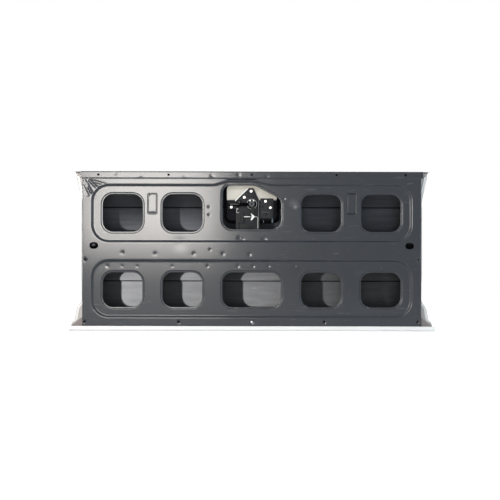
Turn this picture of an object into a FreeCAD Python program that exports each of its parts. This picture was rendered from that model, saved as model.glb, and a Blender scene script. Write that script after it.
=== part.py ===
"""Pickup truck tailgate: pressed inner panel, outer skin, end closures and the handle mechanism.

Millimetres. X runs along the gate, Z is up, and -Y faces the load bed, which is the side with the
access openings. The origin is the middle of the flat bottom flange that the gate stands on.
"""

import FreeCAD
import Part
import math
import os

Vector = FreeCAD.Vector

# Overall sizes
panel_half_width = 678.0
gate_height = 640.0
gate_depth = 64.0
sheet = 1.0
gap = 0.3
cut_past = 60.0

# The handle housing stands proud of the skin, and the panel's face is the other side of the gate
housing_proud = 3.0
face_y = -gate_depth / 2
skin_y = gate_depth / 2 - housing_proud

# Inner panel
panel_bottom = 20.0
strip_height = 26.0
strip_setback = 4.0
strip_overhang = 8.0
joggle_run = 4.0
bottom_turn = 6.0
wall_margin = 8.0
foot_return = 12.0
large_chord = 22.5
small_chord = 30.0
small_corner = 20.0
rod_sides = 24
recess_depth = 8.0
recess_draft = 7.0
recess_flat = 3.0
recess_corner = 70.0
recess_half_width = panel_half_width - 36.0
band_middle = gate_height * 0.5008
band_half = gate_height * 0.0555
lower_recess = (panel_bottom + 34.0, band_middle - band_half)
upper_recess = (band_middle + band_half, gate_height - 52.0)
bump_height = 15.0
bump_corner = 60.0
bump_ends = (-150.0, 80.0)
bump_run = (50.0, 68.0)

# Access openings
outer_column = recess_half_width - 124.0
inner_column = outer_column * 0.5367
opening_columns = (-outer_column, -inner_column, inner_column, outer_column)
opening_width = outer_column - inner_column - 82.0
opening_corner = 40.0
upper_opening = (upper_recess[0] + 43.0, upper_recess[1] - 41.0)
lower_opening = (lower_recess[0] + 42.0, lower_recess[1] - 51.0)
middle_half_width = recess_half_width * 0.1822
middle_corner = 40.0
handle_opening_bottom = upper_recess[0] + 53.0
handle_opening_top = upper_recess[1] - 3.0
handle_opening_slope = (10.0, 55.0)
handle_opening_corner = 34.0
rim_drop = 3.0
rim_lip = 6.0
rim_draft = 3.0
rim_flat = 2.0
rim_flange = 6.0

# Label pads between the outer pairs of upper openings
pad_width = 34.0
pad_height = 80.0
pad_x = (outer_column + inner_column) / 2 + 1.0
pad_z = upper_opening[1] - 37.0
pad_corner = 4.0
pad_depth = 1.6
pad_draft = 1.6
pad_flat = 1.0

# Small holes
clip_hole = 5.0
strip_hole_x = [panel_half_width * f for f in (-0.907, -0.4925, 0.0, 0.5, 0.909)]
strip_hole_z = gate_height - 14.0
foot_hole_x = [panel_half_width * f for f in (-0.985, -0.431, 0.0, 0.428, 0.979)]
foot_hole_z = panel_bottom + 17.0
side_hole_x = panel_half_width - 12.0
side_hole_z = gate_height * 0.447
side_hole = 4.5
anchor_x = panel_half_width - 46.0
anchor_z = gate_height * 0.5344
anchor_length = 34.0
anchor_width = 25.0

# Outer skin
crease_low = gate_height * 0.308
crease_high = gate_height * 0.781
crease_run = 7.0
band_inset = 6.0
bottom_bend = 14.0
top_bend = 16.0
lip_bend = 8.0
lip_inset = 3.0
top_lap = 30.0
skin_waist = panel_half_width + 12.0
skin_top_half = panel_half_width + 39.0
skin_foot_half = panel_half_width + 57.0
foot_step = panel_half_width + 34.0
waist_top = gate_height - 118.0
waist_bottom = 118.0
foot_step_z = 84.0
foot_flare_z = 42.0
foot_flare_run = 6.0
foot_edge_z = 26.0
edge_corner = 20.0
edge_corner_top = 60.0
foot_corner = 6.0
flare_corner = 10.0
hem_lap = 3.0

# End closures
closure_flange = 14.0
closure_top_gap = 10.0
latch_window = (46.0, 22.0)
latch_window_z = gate_height - 80.0
cable_bolt = 4.25
cable_bolt_z = gate_height * 0.5344
hinge_bore = 9.0
hinge_bore_z = panel_bottom + 40.0
plate_thick = 2.5
plate_width = 44.0
latch_plate_height = 96.0
hinge_plate_height = 70.0
side_mount_y = (face_y + skin_y) / 2 - 1.5
gusset_reach = 52.0
gusset_top = panel_bottom + 38.0
gusset_edge = panel_bottom - 4.0
gusset_y = face_y + 18.0
gusset_thick = 1.5

# Stiffener behind the middle band
stiffener_half_length = panel_half_width - 78.0
stiffener_half_height = band_half - 4.5
stiffener_lap = 14.0
stiffener_draft = 4.0

# Hub of the release, which the handle and its pocket are placed from
hub_x = 0.0
hub_z = handle_opening_top - 75.0

# Handle pocket in the skin
pocket_half_width = 112.0
pocket_bottom = hub_z - 78.0
pocket_top = hub_z + 92.0
pocket_corner = 30.0
pocket_floor_y = skin_y - 29.0
pocket_draft = 12.0
pocket_collar = 9.0
pocket_flat = 3.0

# Handle housing and pull handle
housing_wall = 3.0
housing_floor_y = pocket_floor_y + 4.0
housing_rim = 9.0
hollow_half_width = pocket_half_width - 17.0
hollow_bottom = hub_z - 61.0
hollow_top = hub_z + 50.0
hollow_corner = 14.0
boss_inner_x = 58.0
boss_width = 10.0
handle_pin_z = hub_z + 20.0
handle_pin_y = housing_floor_y + 11.0
handle_pin = 3.0
handle_pin_reach = boss_inner_x + boss_width + 1.0
handle_half_width = hollow_half_width - 7.0
handle_top = handle_pin_z + 16.0
handle_bottom = handle_pin_z - 58.0
handle_thick = 5.0
handle_face_y = skin_y + 2.0
handle_corner = 12.0
handle_curl = 6.0
curl_thick = 4.0
knuckle = 6.0
arm_x = boss_inner_x - 8.0
arm_width = 6.0
tail_top = handle_pin_z - 10.0
tail_bottom = handle_pin_z - 16.0
pin_clear = 0.08

# Release mechanism
base_plate_thick = 2.0
base_plate_y = pocket_floor_y - 7.0
base_plate_left = -95.0
base_plate_notch = -64.0
base_plate_right = 29.0
base_plate_low = -105.0
base_plate_step = -20.0
base_plate_shoulder = (-67.0, 11.0)
base_plate_ear = 9.0
base_plate_peak = (-12.0, 6.0, 65.0)
base_plate_side = 17.0
base_plate_flange = 6.0
plate_corner = 3.0
peak_corner = 8.0
tail_slot_margin = 6.0
tail_slot_low = hub_z - 13.0
tail_slot_high = hub_z + 15.0
drawn_boss = 7.0
bracket_y = pocket_floor_y - 13.0
bracket_thick = 1.6
bracket_left = 34.0
bracket_right = 87.0
bracket_low = hub_z - 58.0
bracket_high = hub_z + 23.0
hub_radius = 18.0
hub_back_y = base_plate_y - 5.0
hub_front_y = hub_back_y - 6.0
hub_pin = 4.0
hub_shoulder = 8.0
hub_cap = 11.0
hub_cap_y = hub_front_y - 2.0
tail_tip_y = hub_front_y - 7.0
crank_thick = 3.0
crank_end = -94.0
crank_arm_top = tail_bottom - 1.0
crank_arm_width = 12.0
crank_tab = (-56.0, -44.0)
crank_tab_thick = 4.0
crank_foot_x = 4.0
crank_foot_z = hub_z - 38.0
crank_foot = 7.0
crank_foot_hole = 3.0
bolt_head = 5.5
bolt_head_height = 3.0
bolt_shank = 3.0
bolt_hole = 3.1
bolt_length = 10.0
screw_length = 6.0
base_bolts = [(x, hub_z + z) for x, z in ((-3.0, 52.0), (-31.0, 27.0), (-83.0, -12.0))]
bracket_bolts = [(x, hub_z + z) for x, z in ((55.0, 11.0), (75.0, -15.0))]
spring_x = -37.0
spring_y = base_plate_y - 5.5
spring_high = hub_z - 36.0
spring_low = hub_z - 76.0
spring_radius = 4.5
spring_tab = 3.0
wire = 1.5
wire_sides = 6
spring_sides = 12
wire_points = ((-29.0, -51.0), (21.0, -51.0), (24.0, -56.0), (24.0, -98.0))


def rounded_outline(corners):
    """An anticlockwise outline as (point, mitre) pairs, its round corners drawn as short chords.

    corners is a list of (x, z, radius). A point moves outwards by mitre times the offset.
    """
    count = len(corners)
    points = []
    for i, (x, z, radius) in enumerate(corners):
        corner = Vector(x, z, 0)
        before = (corner - Vector(corners[i - 1][0], corners[i - 1][1], 0)).normalize()
        after = (Vector(corners[(i + 1) % count][0], corners[(i + 1) % count][1], 0) - corner).normalize()
        turn = math.atan2(before.x * after.y - before.y * after.x, before.dot(after))
        if radius <= 0:
            points.append(corner)
            continue
        start = corner - before * radius * math.tan(abs(turn) / 2)
        centre = start + Vector(-before.y, before.x, 0) * math.copysign(radius, turn)
        chord = large_chord if radius > small_corner else small_chord
        steps = max(1, round(math.degrees(abs(turn)) / chord))
        spin = FreeCAD.Rotation(Vector(0, 0, 1), math.degrees(turn) / steps)
        spoke = start - centre
        for _ in range(steps + 1):
            points.append(centre + spoke)
            spoke = spin.multVec(spoke)
    return [(point, mitre_at(points, i)) for i, point in enumerate(points)]


def mitre_at(points, i, closed=True):
    """The move of a polygon's point when its sides move outwards by one."""
    last = len(points) - 1
    normals = []
    if closed or i > 0:
        back = (points[i] - points[i - 1]).normalize()
        normals.append(Vector(back.y, -back.x, 0))
    if closed or i < last:
        ahead = (points[0 if i == last else i + 1] - points[i]).normalize()
        normals.append(Vector(ahead.y, -ahead.x, 0))
    return (normals[0] + normals[-1]) / (1 + normals[0].dot(normals[-1]))


def box_corners(half_width, bottom, top, radius, middle=0.0):
    """Corners of an upright rounded rectangle."""
    return [
        (middle - half_width, bottom, radius),
        (middle + half_width, bottom, radius),
        (middle + half_width, top, radius),
        (middle - half_width, top, radius),
    ]


def in_space(point, y):
    """A point of an outline, placed at depth y."""
    return Vector(point.x, y, point.y)


def outline_wire(outline, offset, y):
    """The outline moved outwards by offset, at depth y."""
    points = [in_space(point + mitre * offset, y) for point, mitre in outline]
    return Part.makePolygon(points + [points[0]])


def slab(outline, offset, holes, y, thickness):
    """A flat plate inside an outline, with holes given as (outline, offset)."""
    plate = Part.Face(outline_wire(outline, offset, y)).extrude(Vector(0, thickness, 0))
    cutters = [Part.Face(outline_wire(o, n, y)).extrude(Vector(0, thickness, 0)) for o, n in holes]
    return plate.cut(cutters) if cutters else plate


def section_face(points):
    """A flat face from a closed list of points in space."""
    return Part.Face(Part.makePolygon(points + [points[0]]))


def ring(outline, section, closed=True):
    """A closed section of (outward, depth) points carried along an outline, mitred at its points."""
    places = [[in_space(point + mitre * n, y) for n, y in section] for point, mitre in outline]
    pairs = list(zip(places, places[1:]))
    faces = []
    if closed:
        pairs.append((places[-1], places[0]))
    else:
        faces = [section_face(places[0]), section_face(places[-1])]
    for here, there in pairs:
        for j in range(len(section)):
            k = (j + 1) % len(section)
            faces.append(section_face([here[j], here[k], there[k], there[j]]))
    shell = Part.makeShell(faces)
    shell.sewShape()
    solid = Part.Solid(shell)
    if solid.Volume < 0:
        solid.reverse()
    return solid


def offset_path(path, distance):
    """An open path of (a, b) points moved to its right side, with mitred corners."""
    shifted = []
    for i, point in enumerate(path):
        here = Vector(point[0], point[1], 0)
        normals = []
        if i > 0:
            back = (here - Vector(path[i - 1][0], path[i - 1][1], 0)).normalize()
            normals.append(Vector(back.y, -back.x, 0))
        if i < len(path) - 1:
            ahead = (Vector(path[i + 1][0], path[i + 1][1], 0) - here).normalize()
            normals.append(Vector(ahead.y, -ahead.x, 0))
        total = normals[0] + normals[-1]
        shift = total * (2 * distance / total.dot(total))
        shifted.append((point[0] + shift.x, point[1] + shift.y))
    return shifted


def sheet_section(path, thickness):
    """Closes an open path into a strip of constant thickness on its right side."""
    return list(path) + offset_path(path, thickness)[::-1]


def joined(solids):
    """One clean solid from solids that share faces."""
    whole = solids[0].multiFuse(solids[1:]).removeSplitter()
    return whole.Solids[0] if len(whole.Solids) == 1 else whole


def bore_y(radius, x, z, low, high):
    """A true round bar along Y."""
    return Part.makeCylinder(radius, high - low, Vector(x, low, z), Vector(0, 1, 0))


def rod_y(radius, x, z, low, high):
    """A bar along Y, round but for its small facets."""
    points = []
    for i in range(rod_sides):
        angle = 2 * math.pi * i / rod_sides
        points.append(Vector(x + radius * math.cos(angle), low, z + radius * math.sin(angle)))
    return section_face(points).extrude(Vector(0, high - low, 0))


def rod_x(radius, y, z, low, high):
    """A round bar along X."""
    return Part.makeCylinder(radius, high - low, Vector(low, y, z), Vector(1, 0, 0))


def block(x0, x1, y0, y1, z0, z1):
    """A box between two corners."""
    return Part.makeBox(x1 - x0, y1 - y0, z1 - z0, Vector(x0, y0, z0))


def stepped_ring(outline, start_y, drop, draft, flat):
    """The wall round a pressed recess, from the upper level to the lower one."""
    path = [(flat, start_y), (0, start_y), (-draft, start_y + drop), (-draft - flat, start_y + drop)]
    return ring(outline, sheet_section(path, sheet))


def upper_recess_outline():
    low, high = upper_recess
    r = recess_corner
    rise = bump_height
    top_line = [
        (recess_half_width, high, r),
        (bump_ends[1], high, bump_corner),
        (bump_ends[1] - bump_run[1], high + rise, bump_corner),
        (bump_ends[0] + bump_run[0], high + rise, bump_corner),
        (bump_ends[0], high, bump_corner),
        (-recess_half_width, high, r),
    ]
    return rounded_outline([(-recess_half_width, low, r), (recess_half_width, low, r)] + top_line)


def handle_opening_outline():
    low, high = handle_opening_bottom, handle_opening_top
    half, r = middle_half_width, middle_corner
    slope_x, slope_z = handle_opening_slope
    corners = [
        (-half, low, r),
        (half, low, r),
        (half, high - slope_z, r),
        (slope_x, high, r),
        (-half, high, handle_opening_corner),
    ]
    return rounded_outline(corners)


def opening_outlines(row):
    """Outlines of the five openings in a row, 'upper' or 'lower'."""
    low, high = upper_opening if row == "upper" else lower_opening
    half = opening_width / 2
    outlines = [rounded_outline(box_corners(half, low, high, opening_corner, x)) for x in opening_columns]
    if row == "upper":
        outlines.append(handle_opening_outline())
    else:
        outlines.append(rounded_outline(box_corners(middle_half_width, low, high, middle_corner)))
    return outlines


def opening_rim(outline, floor_y):
    """The stepped lip and inward flange round an opening."""
    path = [
        (rim_lip + rim_draft + rim_flat, floor_y),
        (rim_lip + rim_draft, floor_y),
        (rim_lip, floor_y + rim_drop),
        (0, floor_y + rim_drop),
        (0, floor_y + rim_drop + rim_flange),
    ]
    return ring(outline, sheet_section(path, sheet))


def round_hole(x, z, radius):
    return bore_y(radius, x, z, face_y - sheet, face_y + strip_setback + 3 * sheet)


def oval_hole(x, z):
    half = (anchor_length - anchor_width) / 2
    r = anchor_width / 2
    ends = [round_hole(x - half, z, r), round_hole(x + half, z, r)]
    return ends + [block(x - half, x + half, face_y - sheet, face_y + 3 * sheet, z - r, z + r)]


def inner_panel():
    floor_y = face_y + recess_depth
    strip_bottom = gate_height - strip_height
    face_top = strip_bottom - joggle_run
    face_edge = rounded_outline(box_corners(panel_half_width, panel_bottom, face_top, 0))
    recesses = {
        "upper": upper_recess_outline(),
        "lower": rounded_outline(box_corners(recess_half_width, *lower_recess, recess_corner)),
    }
    pads = [
        rounded_outline(box_corners(pad_width / 2, pad_z - pad_height / 2, pad_z + pad_height / 2, pad_corner, x))
        for x in (-pad_x, pad_x)
    ]
    solids = [slab(face_edge, 0, [(p, recess_flat) for p in recesses.values()], face_y, sheet)]
    rim_reach = rim_lip + rim_draft + rim_flat
    for row, outline in recesses.items():
        solids.append(stepped_ring(outline, face_y, recess_depth, recess_draft, recess_flat))
        openings = opening_outlines(row)
        holes = [(o, rim_reach) for o in openings]
        if row == "upper":
            holes += [(p, pad_flat) for p in pads]
        solids.append(slab(outline, -recess_draft - recess_flat, holes, floor_y, sheet))
        for opening in openings:
            solids.append(opening_rim(opening, floor_y))
    for pad in pads:
        solids.append(stepped_ring(pad, floor_y, pad_depth, pad_draft, pad_flat))
        solids.append(slab(pad, -pad_draft - pad_flat, [], floor_y + pad_depth, sheet))
    # Joggle, top strip and top wall, then the bottom wall
    strip_y = face_y + strip_setback
    wall_back = skin_y - top_bend - wall_margin
    top_path = [
        (face_y, face_top - joggle_run),
        (face_y, face_top),
        (strip_y, strip_bottom),
        (strip_y, gate_height - sheet),
        (wall_back, gate_height - sheet),
    ]
    solids.append(long_sheet(top_path, panel_half_width + strip_overhang))
    reach = panel_half_width + cut_past
    trims = [block(-reach, reach, face_y - sheet, face_y + 2 * sheet, face_top - joggle_run, gate_height)]
    bottom_path = [
        (face_y + foot_return, panel_bottom),
        (face_y, panel_bottom),
        (face_y, panel_bottom + bottom_turn),
    ]
    trims.append(block(-reach, reach, face_y - sheet, face_y + 2 * sheet, 0, panel_bottom + bottom_turn))
    solids[0] = solids[0].cut(trims)
    solids.append(long_sheet(bottom_path, panel_half_width))
    panel = joined(solids)
    cutters = [round_hole(x, strip_hole_z, clip_hole) for x in strip_hole_x]
    cutters += [round_hole(x, foot_hole_z, clip_hole) for x in foot_hole_x]
    cutters += [round_hole(side * side_hole_x, side_hole_z, side_hole) for side in (-1, 1)]
    for side in (-1, 1):
        cutters += oval_hole(side * anchor_x, anchor_z)
    return panel.cut(cutters)


def long_sheet(path, half_length):
    """A bent sheet with a constant (y, z) section, as long as the gate."""
    section = sheet_section(path, sheet)
    face = section_face([Vector(-half_length, y, z) for y, z in section])
    return face.extrude(Vector(2 * half_length, 0, 0))


def bend(corner, before, after, radius, steps=3):
    """Points of a rounded bend between two directions at a corner of a (y, z) path."""
    a = Vector(before[0], before[1], 0).normalize()
    b = Vector(after[0], after[1], 0).normalize()
    turn = math.atan2(a.x * b.y - a.y * b.x, a.dot(b))
    cut = radius * math.tan(abs(turn) / 2)
    side = 1 if turn > 0 else -1
    start = Vector(corner[0], corner[1], 0) - a * cut
    centre = start + Vector(-a.y, a.x, 0) * radius * side
    points = []
    for i in range(steps + 1):
        angle = turn * i / steps
        spoke = start - centre
        x = spoke.x * math.cos(angle) - spoke.y * math.sin(angle)
        y = spoke.x * math.sin(angle) + spoke.y * math.cos(angle)
        points.append((centre.x + x, centre.y + y))
    return points


def skin_path():
    """The skin's outside in the (y, z) plane, from the bottom lip round to the top lap."""
    band = skin_y - band_inset
    lip = face_y + lip_inset
    top = gate_height + sheet
    path = [(lip, panel_bottom - gap)]
    path += bend((lip, 0), (0, -1), (1, 0), lip_bend)
    path += bend((skin_y, 0), (1, 0), (0, 1), bottom_bend)
    path += [(skin_y, crease_low), (band, crease_low + crease_run)]
    path += [(band, crease_high - crease_run), (skin_y, crease_high)]
    path += bend((skin_y, top), (0, 1), (-1, 0), top_bend)
    path += [(skin_y - top_lap, top)]
    return path


def skin_edge(margin):
    """The skin's outline seen from the bed, drawn in from the edge by margin."""
    right = [
        (skin_foot_half - margin, -2 * sheet, 0),
        (skin_foot_half - margin, foot_edge_z, foot_corner),
        (foot_step + foot_flare_run - margin, foot_flare_z, flare_corner),
        (foot_step - margin, foot_step_z, edge_corner),
        (skin_waist - margin, waist_bottom, edge_corner),
        (skin_waist - margin, waist_top, edge_corner_top),
        (skin_top_half - margin, gate_height + 2 * sheet, 0),
    ]
    left = [(-x, z, r) for x, z, r in right[::-1]]
    return rounded_outline(right + left)


def outline_prism(outline, offset, low, high):
    """The outline as a solid between two depths."""
    return Part.Face(outline_wire(outline, offset, low)).extrude(Vector(0, high - low, 0))


def skin_sheet(inset, margin):
    """A sheet that follows the skin's section, inset from its outside and trimmed to its outline."""
    outside = offset_path(skin_path(), -inset)
    section = sheet_section(outside, -sheet)
    length = skin_foot_half + cut_past
    body = section_face([Vector(-length, y, z) for y, z in section]).extrude(Vector(2 * length, 0, 0))
    return body.common(outline_prism(skin_edge(margin), 0, -gate_depth, gate_depth))


def pocket_outline():
    return rounded_outline(box_corners(pocket_half_width, pocket_bottom, pocket_top, pocket_corner))


def outer_skin():
    mouth = outline_prism(pocket_outline(), 0, skin_y - 2 * band_inset, skin_y + sheet)
    return skin_sheet(0.0, 0.0).cut(mouth)


def mirrored(shape):
    """The same piece on the other end of the gate."""
    return shape.mirror(Vector(0, 0, 0), Vector(1, 0, 0))


def closure_right():
    """End closure: a web across the gate's depth, a flange behind the panel and one along the skin."""
    low = panel_bottom + sheet
    high = gate_height - 2 * sheet
    face_top = gate_height - strip_height - joggle_run
    web_in = panel_half_width - sheet
    behind = offset_path(skin_path(), -sheet)
    back_edge = [p for p in behind if p[0] > 0 and low < p[1] < high - top_bend]
    outline = [(face_y + sheet, low), (skin_y - sheet, low)] + back_edge
    outline += [(skin_y - sheet, high - top_bend), (skin_y - sheet - top_bend, high)]
    outline += [(face_y + strip_setback + sheet, high), (face_y + strip_setback + sheet, face_top)]
    outline += [(face_y + sheet, face_top - joggle_run)]
    web = section_face([Vector(web_in, y, z) for y, z in outline]).extrude(Vector(sheet, 0, 0))
    front = block(web_in - closure_flange, web_in + sheet / 2, face_y + sheet, face_y + 2 * sheet,
                  low, face_top - joggle_run)
    reach = skin_foot_half + cut_past
    flange_top = gate_height - top_bend - closure_top_gap
    flange = skin_sheet(sheet, hem_lap).common(block(web_in, reach, 0, skin_y, low + 2 * sheet, flange_top))
    closure = joined([web, front] + flange.Solids)
    x0, x1 = web_in - sheet, web_in + 2 * sheet
    mid_y = side_mount_y
    window = block(x0, x1, mid_y - latch_window[1] / 2, mid_y + latch_window[1] / 2,
                   latch_window_z - latch_window[0] / 2, latch_window_z + latch_window[0] / 2)
    return closure.cut([window, rod_x(cable_bolt, mid_y, cable_bolt_z, x0, x1),
                        rod_x(hinge_bore, mid_y, hinge_bore_z, x0, x1)])


def latch_plate_right():
    """Thick plate behind the latch window."""
    x1 = panel_half_width - sheet
    x0 = x1 - plate_thick
    half = latch_plate_height / 2
    plate = block(x0, x1, side_mount_y - plate_width / 2, side_mount_y + plate_width / 2,
                  latch_window_z - half, latch_window_z + half)
    window = block(x0 - sheet, x1 + sheet, side_mount_y - latch_window[1] / 2, side_mount_y + latch_window[1] / 2,
                   latch_window_z - latch_window[0] / 2, latch_window_z + latch_window[0] / 2)
    return plate.cut(window)


def hinge_plate_right():
    """Thick plate round the hinge bore."""
    x1 = panel_half_width - sheet
    x0 = x1 - plate_thick
    half = hinge_plate_height / 2
    plate = block(x0, x1, side_mount_y - plate_width / 2, side_mount_y + plate_width / 2,
                  hinge_bore_z - half, hinge_bore_z + half)
    return plate.cut(rod_x(hinge_bore, side_mount_y, hinge_bore_z, x0 - sheet, x1 + sheet))


def corner_gusset_right():
    """Plate that ties the end closure to the skin's flared foot."""
    inner = panel_half_width
    outer = inner + gusset_reach
    corners = [(inner, sheet, 0), (outer, sheet, 0), (outer, gusset_edge, 0), (inner, gusset_top, 0)]
    return outline_prism(rounded_outline(corners), 0, gusset_y, gusset_y + gusset_thick)


def middle_stiffener():
    """Hat channel between the panel's middle band and the skin."""
    back = face_y + sheet
    crown = skin_y - band_inset - 2 * sheet - gap
    tall = stiffener_half_height
    half = tall - stiffener_lap
    path = [
        (back, band_middle - tall),
        (back, band_middle - half),
        (crown, band_middle - half + stiffener_draft),
        (crown, band_middle + half - stiffener_draft),
        (back, band_middle + half),
        (back, band_middle + tall),
    ]
    return long_sheet(path, stiffener_half_length)


def handle_pocket():
    """Pressed cup that carries the handle, with its floor towards the bed."""
    collar = skin_y - pocket_collar
    path = [(0, skin_y), (0, collar), (-pocket_draft, pocket_floor_y)]
    path.append((-pocket_draft - pocket_flat, pocket_floor_y))
    solids = [ring(pocket_outline(), sheet_section(path, sheet))]
    solids.append(slab(pocket_outline(), -pocket_draft - pocket_flat, [], pocket_floor_y, sheet))
    cup = joined(solids).common(behind_skin())
    low, high = pocket_floor_y - sheet, pocket_floor_y + 2 * sheet
    holes = [rod_y(bolt_hole, x, z, low, high) for x, z in base_bolts]
    return cup.cut(holes + [tail_slot(low, high)])


def tail_slot(low, high):
    """The slot that the handle's tail passes through, between two depths."""
    half = arm_width / 2 + tail_slot_margin
    return block(-arm_x - half, -arm_x + half, low, high, tail_slot_low, tail_slot_high)


def behind_skin():
    """Everything on the bed side of the skin's outer surface."""
    path = skin_path()
    outline = [(-gate_depth, 0)]
    outline += [p for p in path if p[0] > 0 and 0 < p[1] < gate_height]
    outline += [(-gate_depth, gate_height)]
    length = pocket_half_width + cut_past
    return section_face([Vector(-length, y, z) for y, z in outline]).extrude(Vector(2 * length, 0, 0))


def hollow_outline():
    return rounded_outline(box_corners(hollow_half_width, hollow_bottom, hollow_top, hollow_corner))


def handle_housing():
    """Moulded tray in the pocket, with a rim that seats on the skin."""
    hollow = outline_prism(hollow_outline(), 0, housing_floor_y, skin_y + 2 * housing_proud)
    rim = slab(pocket_outline(), housing_rim, [], skin_y - band_inset, band_inset + housing_proud)
    rim = rim.cut([behind_skin(), hollow])
    wall = slab(hollow_outline(), housing_wall, [(hollow_outline(), 0)], housing_floor_y,
                skin_y + housing_proud - housing_floor_y)
    floor = slab(hollow_outline(), housing_wall, [], housing_floor_y, housing_wall)
    bosses = []
    for x in (-boss_inner_x - boss_width, boss_inner_x):
        foot = block(x, x + boss_width, housing_floor_y, handle_pin_y, handle_pin_z - knuckle, handle_pin_z + knuckle)
        bosses += [foot, rod_x(knuckle, handle_pin_y, handle_pin_z, x, x + boss_width)]
    tray = joined([rim, wall, floor] + bosses)
    slot = tail_slot(housing_floor_y - sheet, housing_floor_y + housing_wall + sheet)
    bore = rod_x(handle_pin + pin_clear, handle_pin_y, handle_pin_z, -handle_pin_reach, handle_pin_reach)
    return tray.cut([slot, bore])


def handle_pivot():
    return rod_x(handle_pin, handle_pin_y, handle_pin_z, -handle_pin_reach, handle_pin_reach)


def pull_handle():
    """Flap with two arms on the pivot, one of which carries the tail that works the crank."""
    middle = (handle_top + handle_bottom) / 2
    half = (handle_top - handle_bottom) / 2
    outline = rounded_outline(box_corners(handle_half_width, middle - half, middle + half, handle_corner))
    back_y = handle_face_y - handle_thick
    solids = [slab(outline, 0, [], back_y, handle_thick)]
    curl_half = handle_half_width - handle_corner
    curl_top = handle_bottom + curl_thick
    solids.append(block(-curl_half, curl_half, back_y - handle_curl, back_y, handle_bottom, curl_top))
    for side in (-1, 1):
        x0 = side * arm_x - arm_width / 2
        x1 = x0 + arm_width
        solids.append(rod_x(knuckle, handle_pin_y, handle_pin_z, x0, x1))
        solids.append(block(x0, x1, handle_pin_y, back_y, handle_pin_z - knuckle, handle_pin_z + knuckle))
    x0 = -arm_x - arm_width / 2
    x1 = x0 + arm_width
    solids.append(block(x0, x1, handle_pin_y - knuckle, handle_pin_y + knuckle, tail_bottom, handle_pin_z))
    solids.append(block(x0, x1, tail_tip_y, handle_pin_y, tail_bottom, tail_top))
    bore = rod_x(handle_pin + pin_clear, handle_pin_y, handle_pin_z, -handle_pin_reach, handle_pin_reach)
    return joined(solids).cut(bore)


def base_plate():
    """Plate that carries the hub, bolted through drawn bosses to the pocket floor."""
    r = plate_corner
    low, step = hub_z + base_plate_low, hub_z + base_plate_step
    peak_left, peak_right, peak_z = base_plate_peak
    shoulder_x, shoulder_z = base_plate_shoulder
    corners = [
        (base_plate_left, step, r),
        (base_plate_notch, step, r),
        (base_plate_notch, low, r),
        (base_plate_right, low, r),
        (base_plate_right, hub_z + base_plate_side, r),
        (peak_right, hub_z + peak_z, peak_corner),
        (peak_left, hub_z + peak_z, peak_corner),
        (shoulder_x, hub_z + shoulder_z, 2 * r),
        (base_plate_left, hub_z + base_plate_ear, r),
    ]
    plate = slab(rounded_outline(corners), 0, [], base_plate_y, base_plate_thick)
    back = base_plate_y + base_plate_thick
    solids = [plate] + [rod_y(drawn_boss, x, z, back, pocket_floor_y) for x, z in base_bolts]
    solids.append(block(base_plate_right - base_plate_thick, base_plate_right, base_plate_y - base_plate_flange,
                        back, low + 2 * r, hub_z + base_plate_side - r))
    for z in (spring_high, spring_low - spring_tab):
        left, right = spring_x - spring_tab, spring_x + spring_tab
        solids.append(block(left, right, spring_y - spring_tab, base_plate_y, z, z + spring_tab))
    front = base_plate_y - sheet
    cutters = [rod_y(bolt_hole, x, z, front, pocket_floor_y) for x, z in base_bolts]
    cutters.append(rod_y(hub_pin, hub_x, hub_z, front, back + sheet))
    cutters.append(tail_slot(front, back + sheet))
    return joined(solids).cut(cutters)


def side_bracket():
    """Shallow channel beside the hub, standing on the pocket floor."""
    x0, x1, z0, z1 = bracket_left, bracket_right, bracket_low, bracket_high
    t = bracket_thick
    web = block(x0, x1, bracket_y, bracket_y + t, z0, z1)
    legs = [block(x0, x0 + t, bracket_y, pocket_floor_y, z0, z1),
            block(x1 - t, x1, bracket_y, pocket_floor_y, z0, z1)]
    holes = [rod_y(bolt_hole, x, z, bracket_y - t, bracket_y + 2 * t) for x, z in bracket_bolts]
    return joined([web] + legs).cut(holes)


def bolt(x, z, seat_y, length):
    """Hexagon head towards the bed, with a plain shank."""
    points = []
    for i in range(6):
        angle = math.radians(60 * i)
        points.append(Vector(x + bolt_head * math.cos(angle), seat_y, z + bolt_head * math.sin(angle)))
    head = section_face(points).extrude(Vector(0, -bolt_head_height, 0))
    return joined([head, rod_y(bolt_shank, x, z, seat_y, seat_y + length)])


def plate_bolts():
    return Part.makeCompound([bolt(x, z, base_plate_y, bolt_length) for x, z in base_bolts])


def bracket_screws():
    return Part.makeCompound([bolt(x, z, bracket_y, screw_length) for x, z in bracket_bolts])


def hub_pivot():
    """Shouldered pin for the crank, riveted into the base plate."""
    back = base_plate_y + base_plate_thick
    solids = [
        rod_y(hub_pin, hub_x, hub_z, hub_front_y, back),
        rod_y(hub_shoulder, hub_x, hub_z, hub_back_y, base_plate_y),
        rod_y(hub_cap, hub_x, hub_z, hub_cap_y, hub_front_y),
    ]
    return joined(solids)


def release_crank():
    """Crank on the hub: an arm under the handle's tail and a foot below."""
    back = hub_front_y + crank_thick
    front = hub_front_y + pin_clear
    rear = hub_back_y - pin_clear
    top = crank_arm_top
    r = crank_foot
    tab = block(*crank_tab, back, rear, top - crank_tab_thick, top)
    solids = [
        rod_y(hub_radius, hub_x, hub_z, front, rear),
        block(crank_end, hub_x, front, back, top - crank_arm_width, top),
        tab,
        block(crank_foot_x - r, crank_foot_x + r, front, back, crank_foot_z, hub_z),
        rod_y(r, crank_foot_x, crank_foot_z, front, back),
    ]
    bores = [
        rod_y(hub_pin + pin_clear, hub_x, hub_z, hub_cap_y, base_plate_y),
        rod_y(crank_foot_hole, crank_foot_x, crank_foot_z, hub_cap_y, base_plate_y),
    ]
    return joined(solids).cut(bores)


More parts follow.
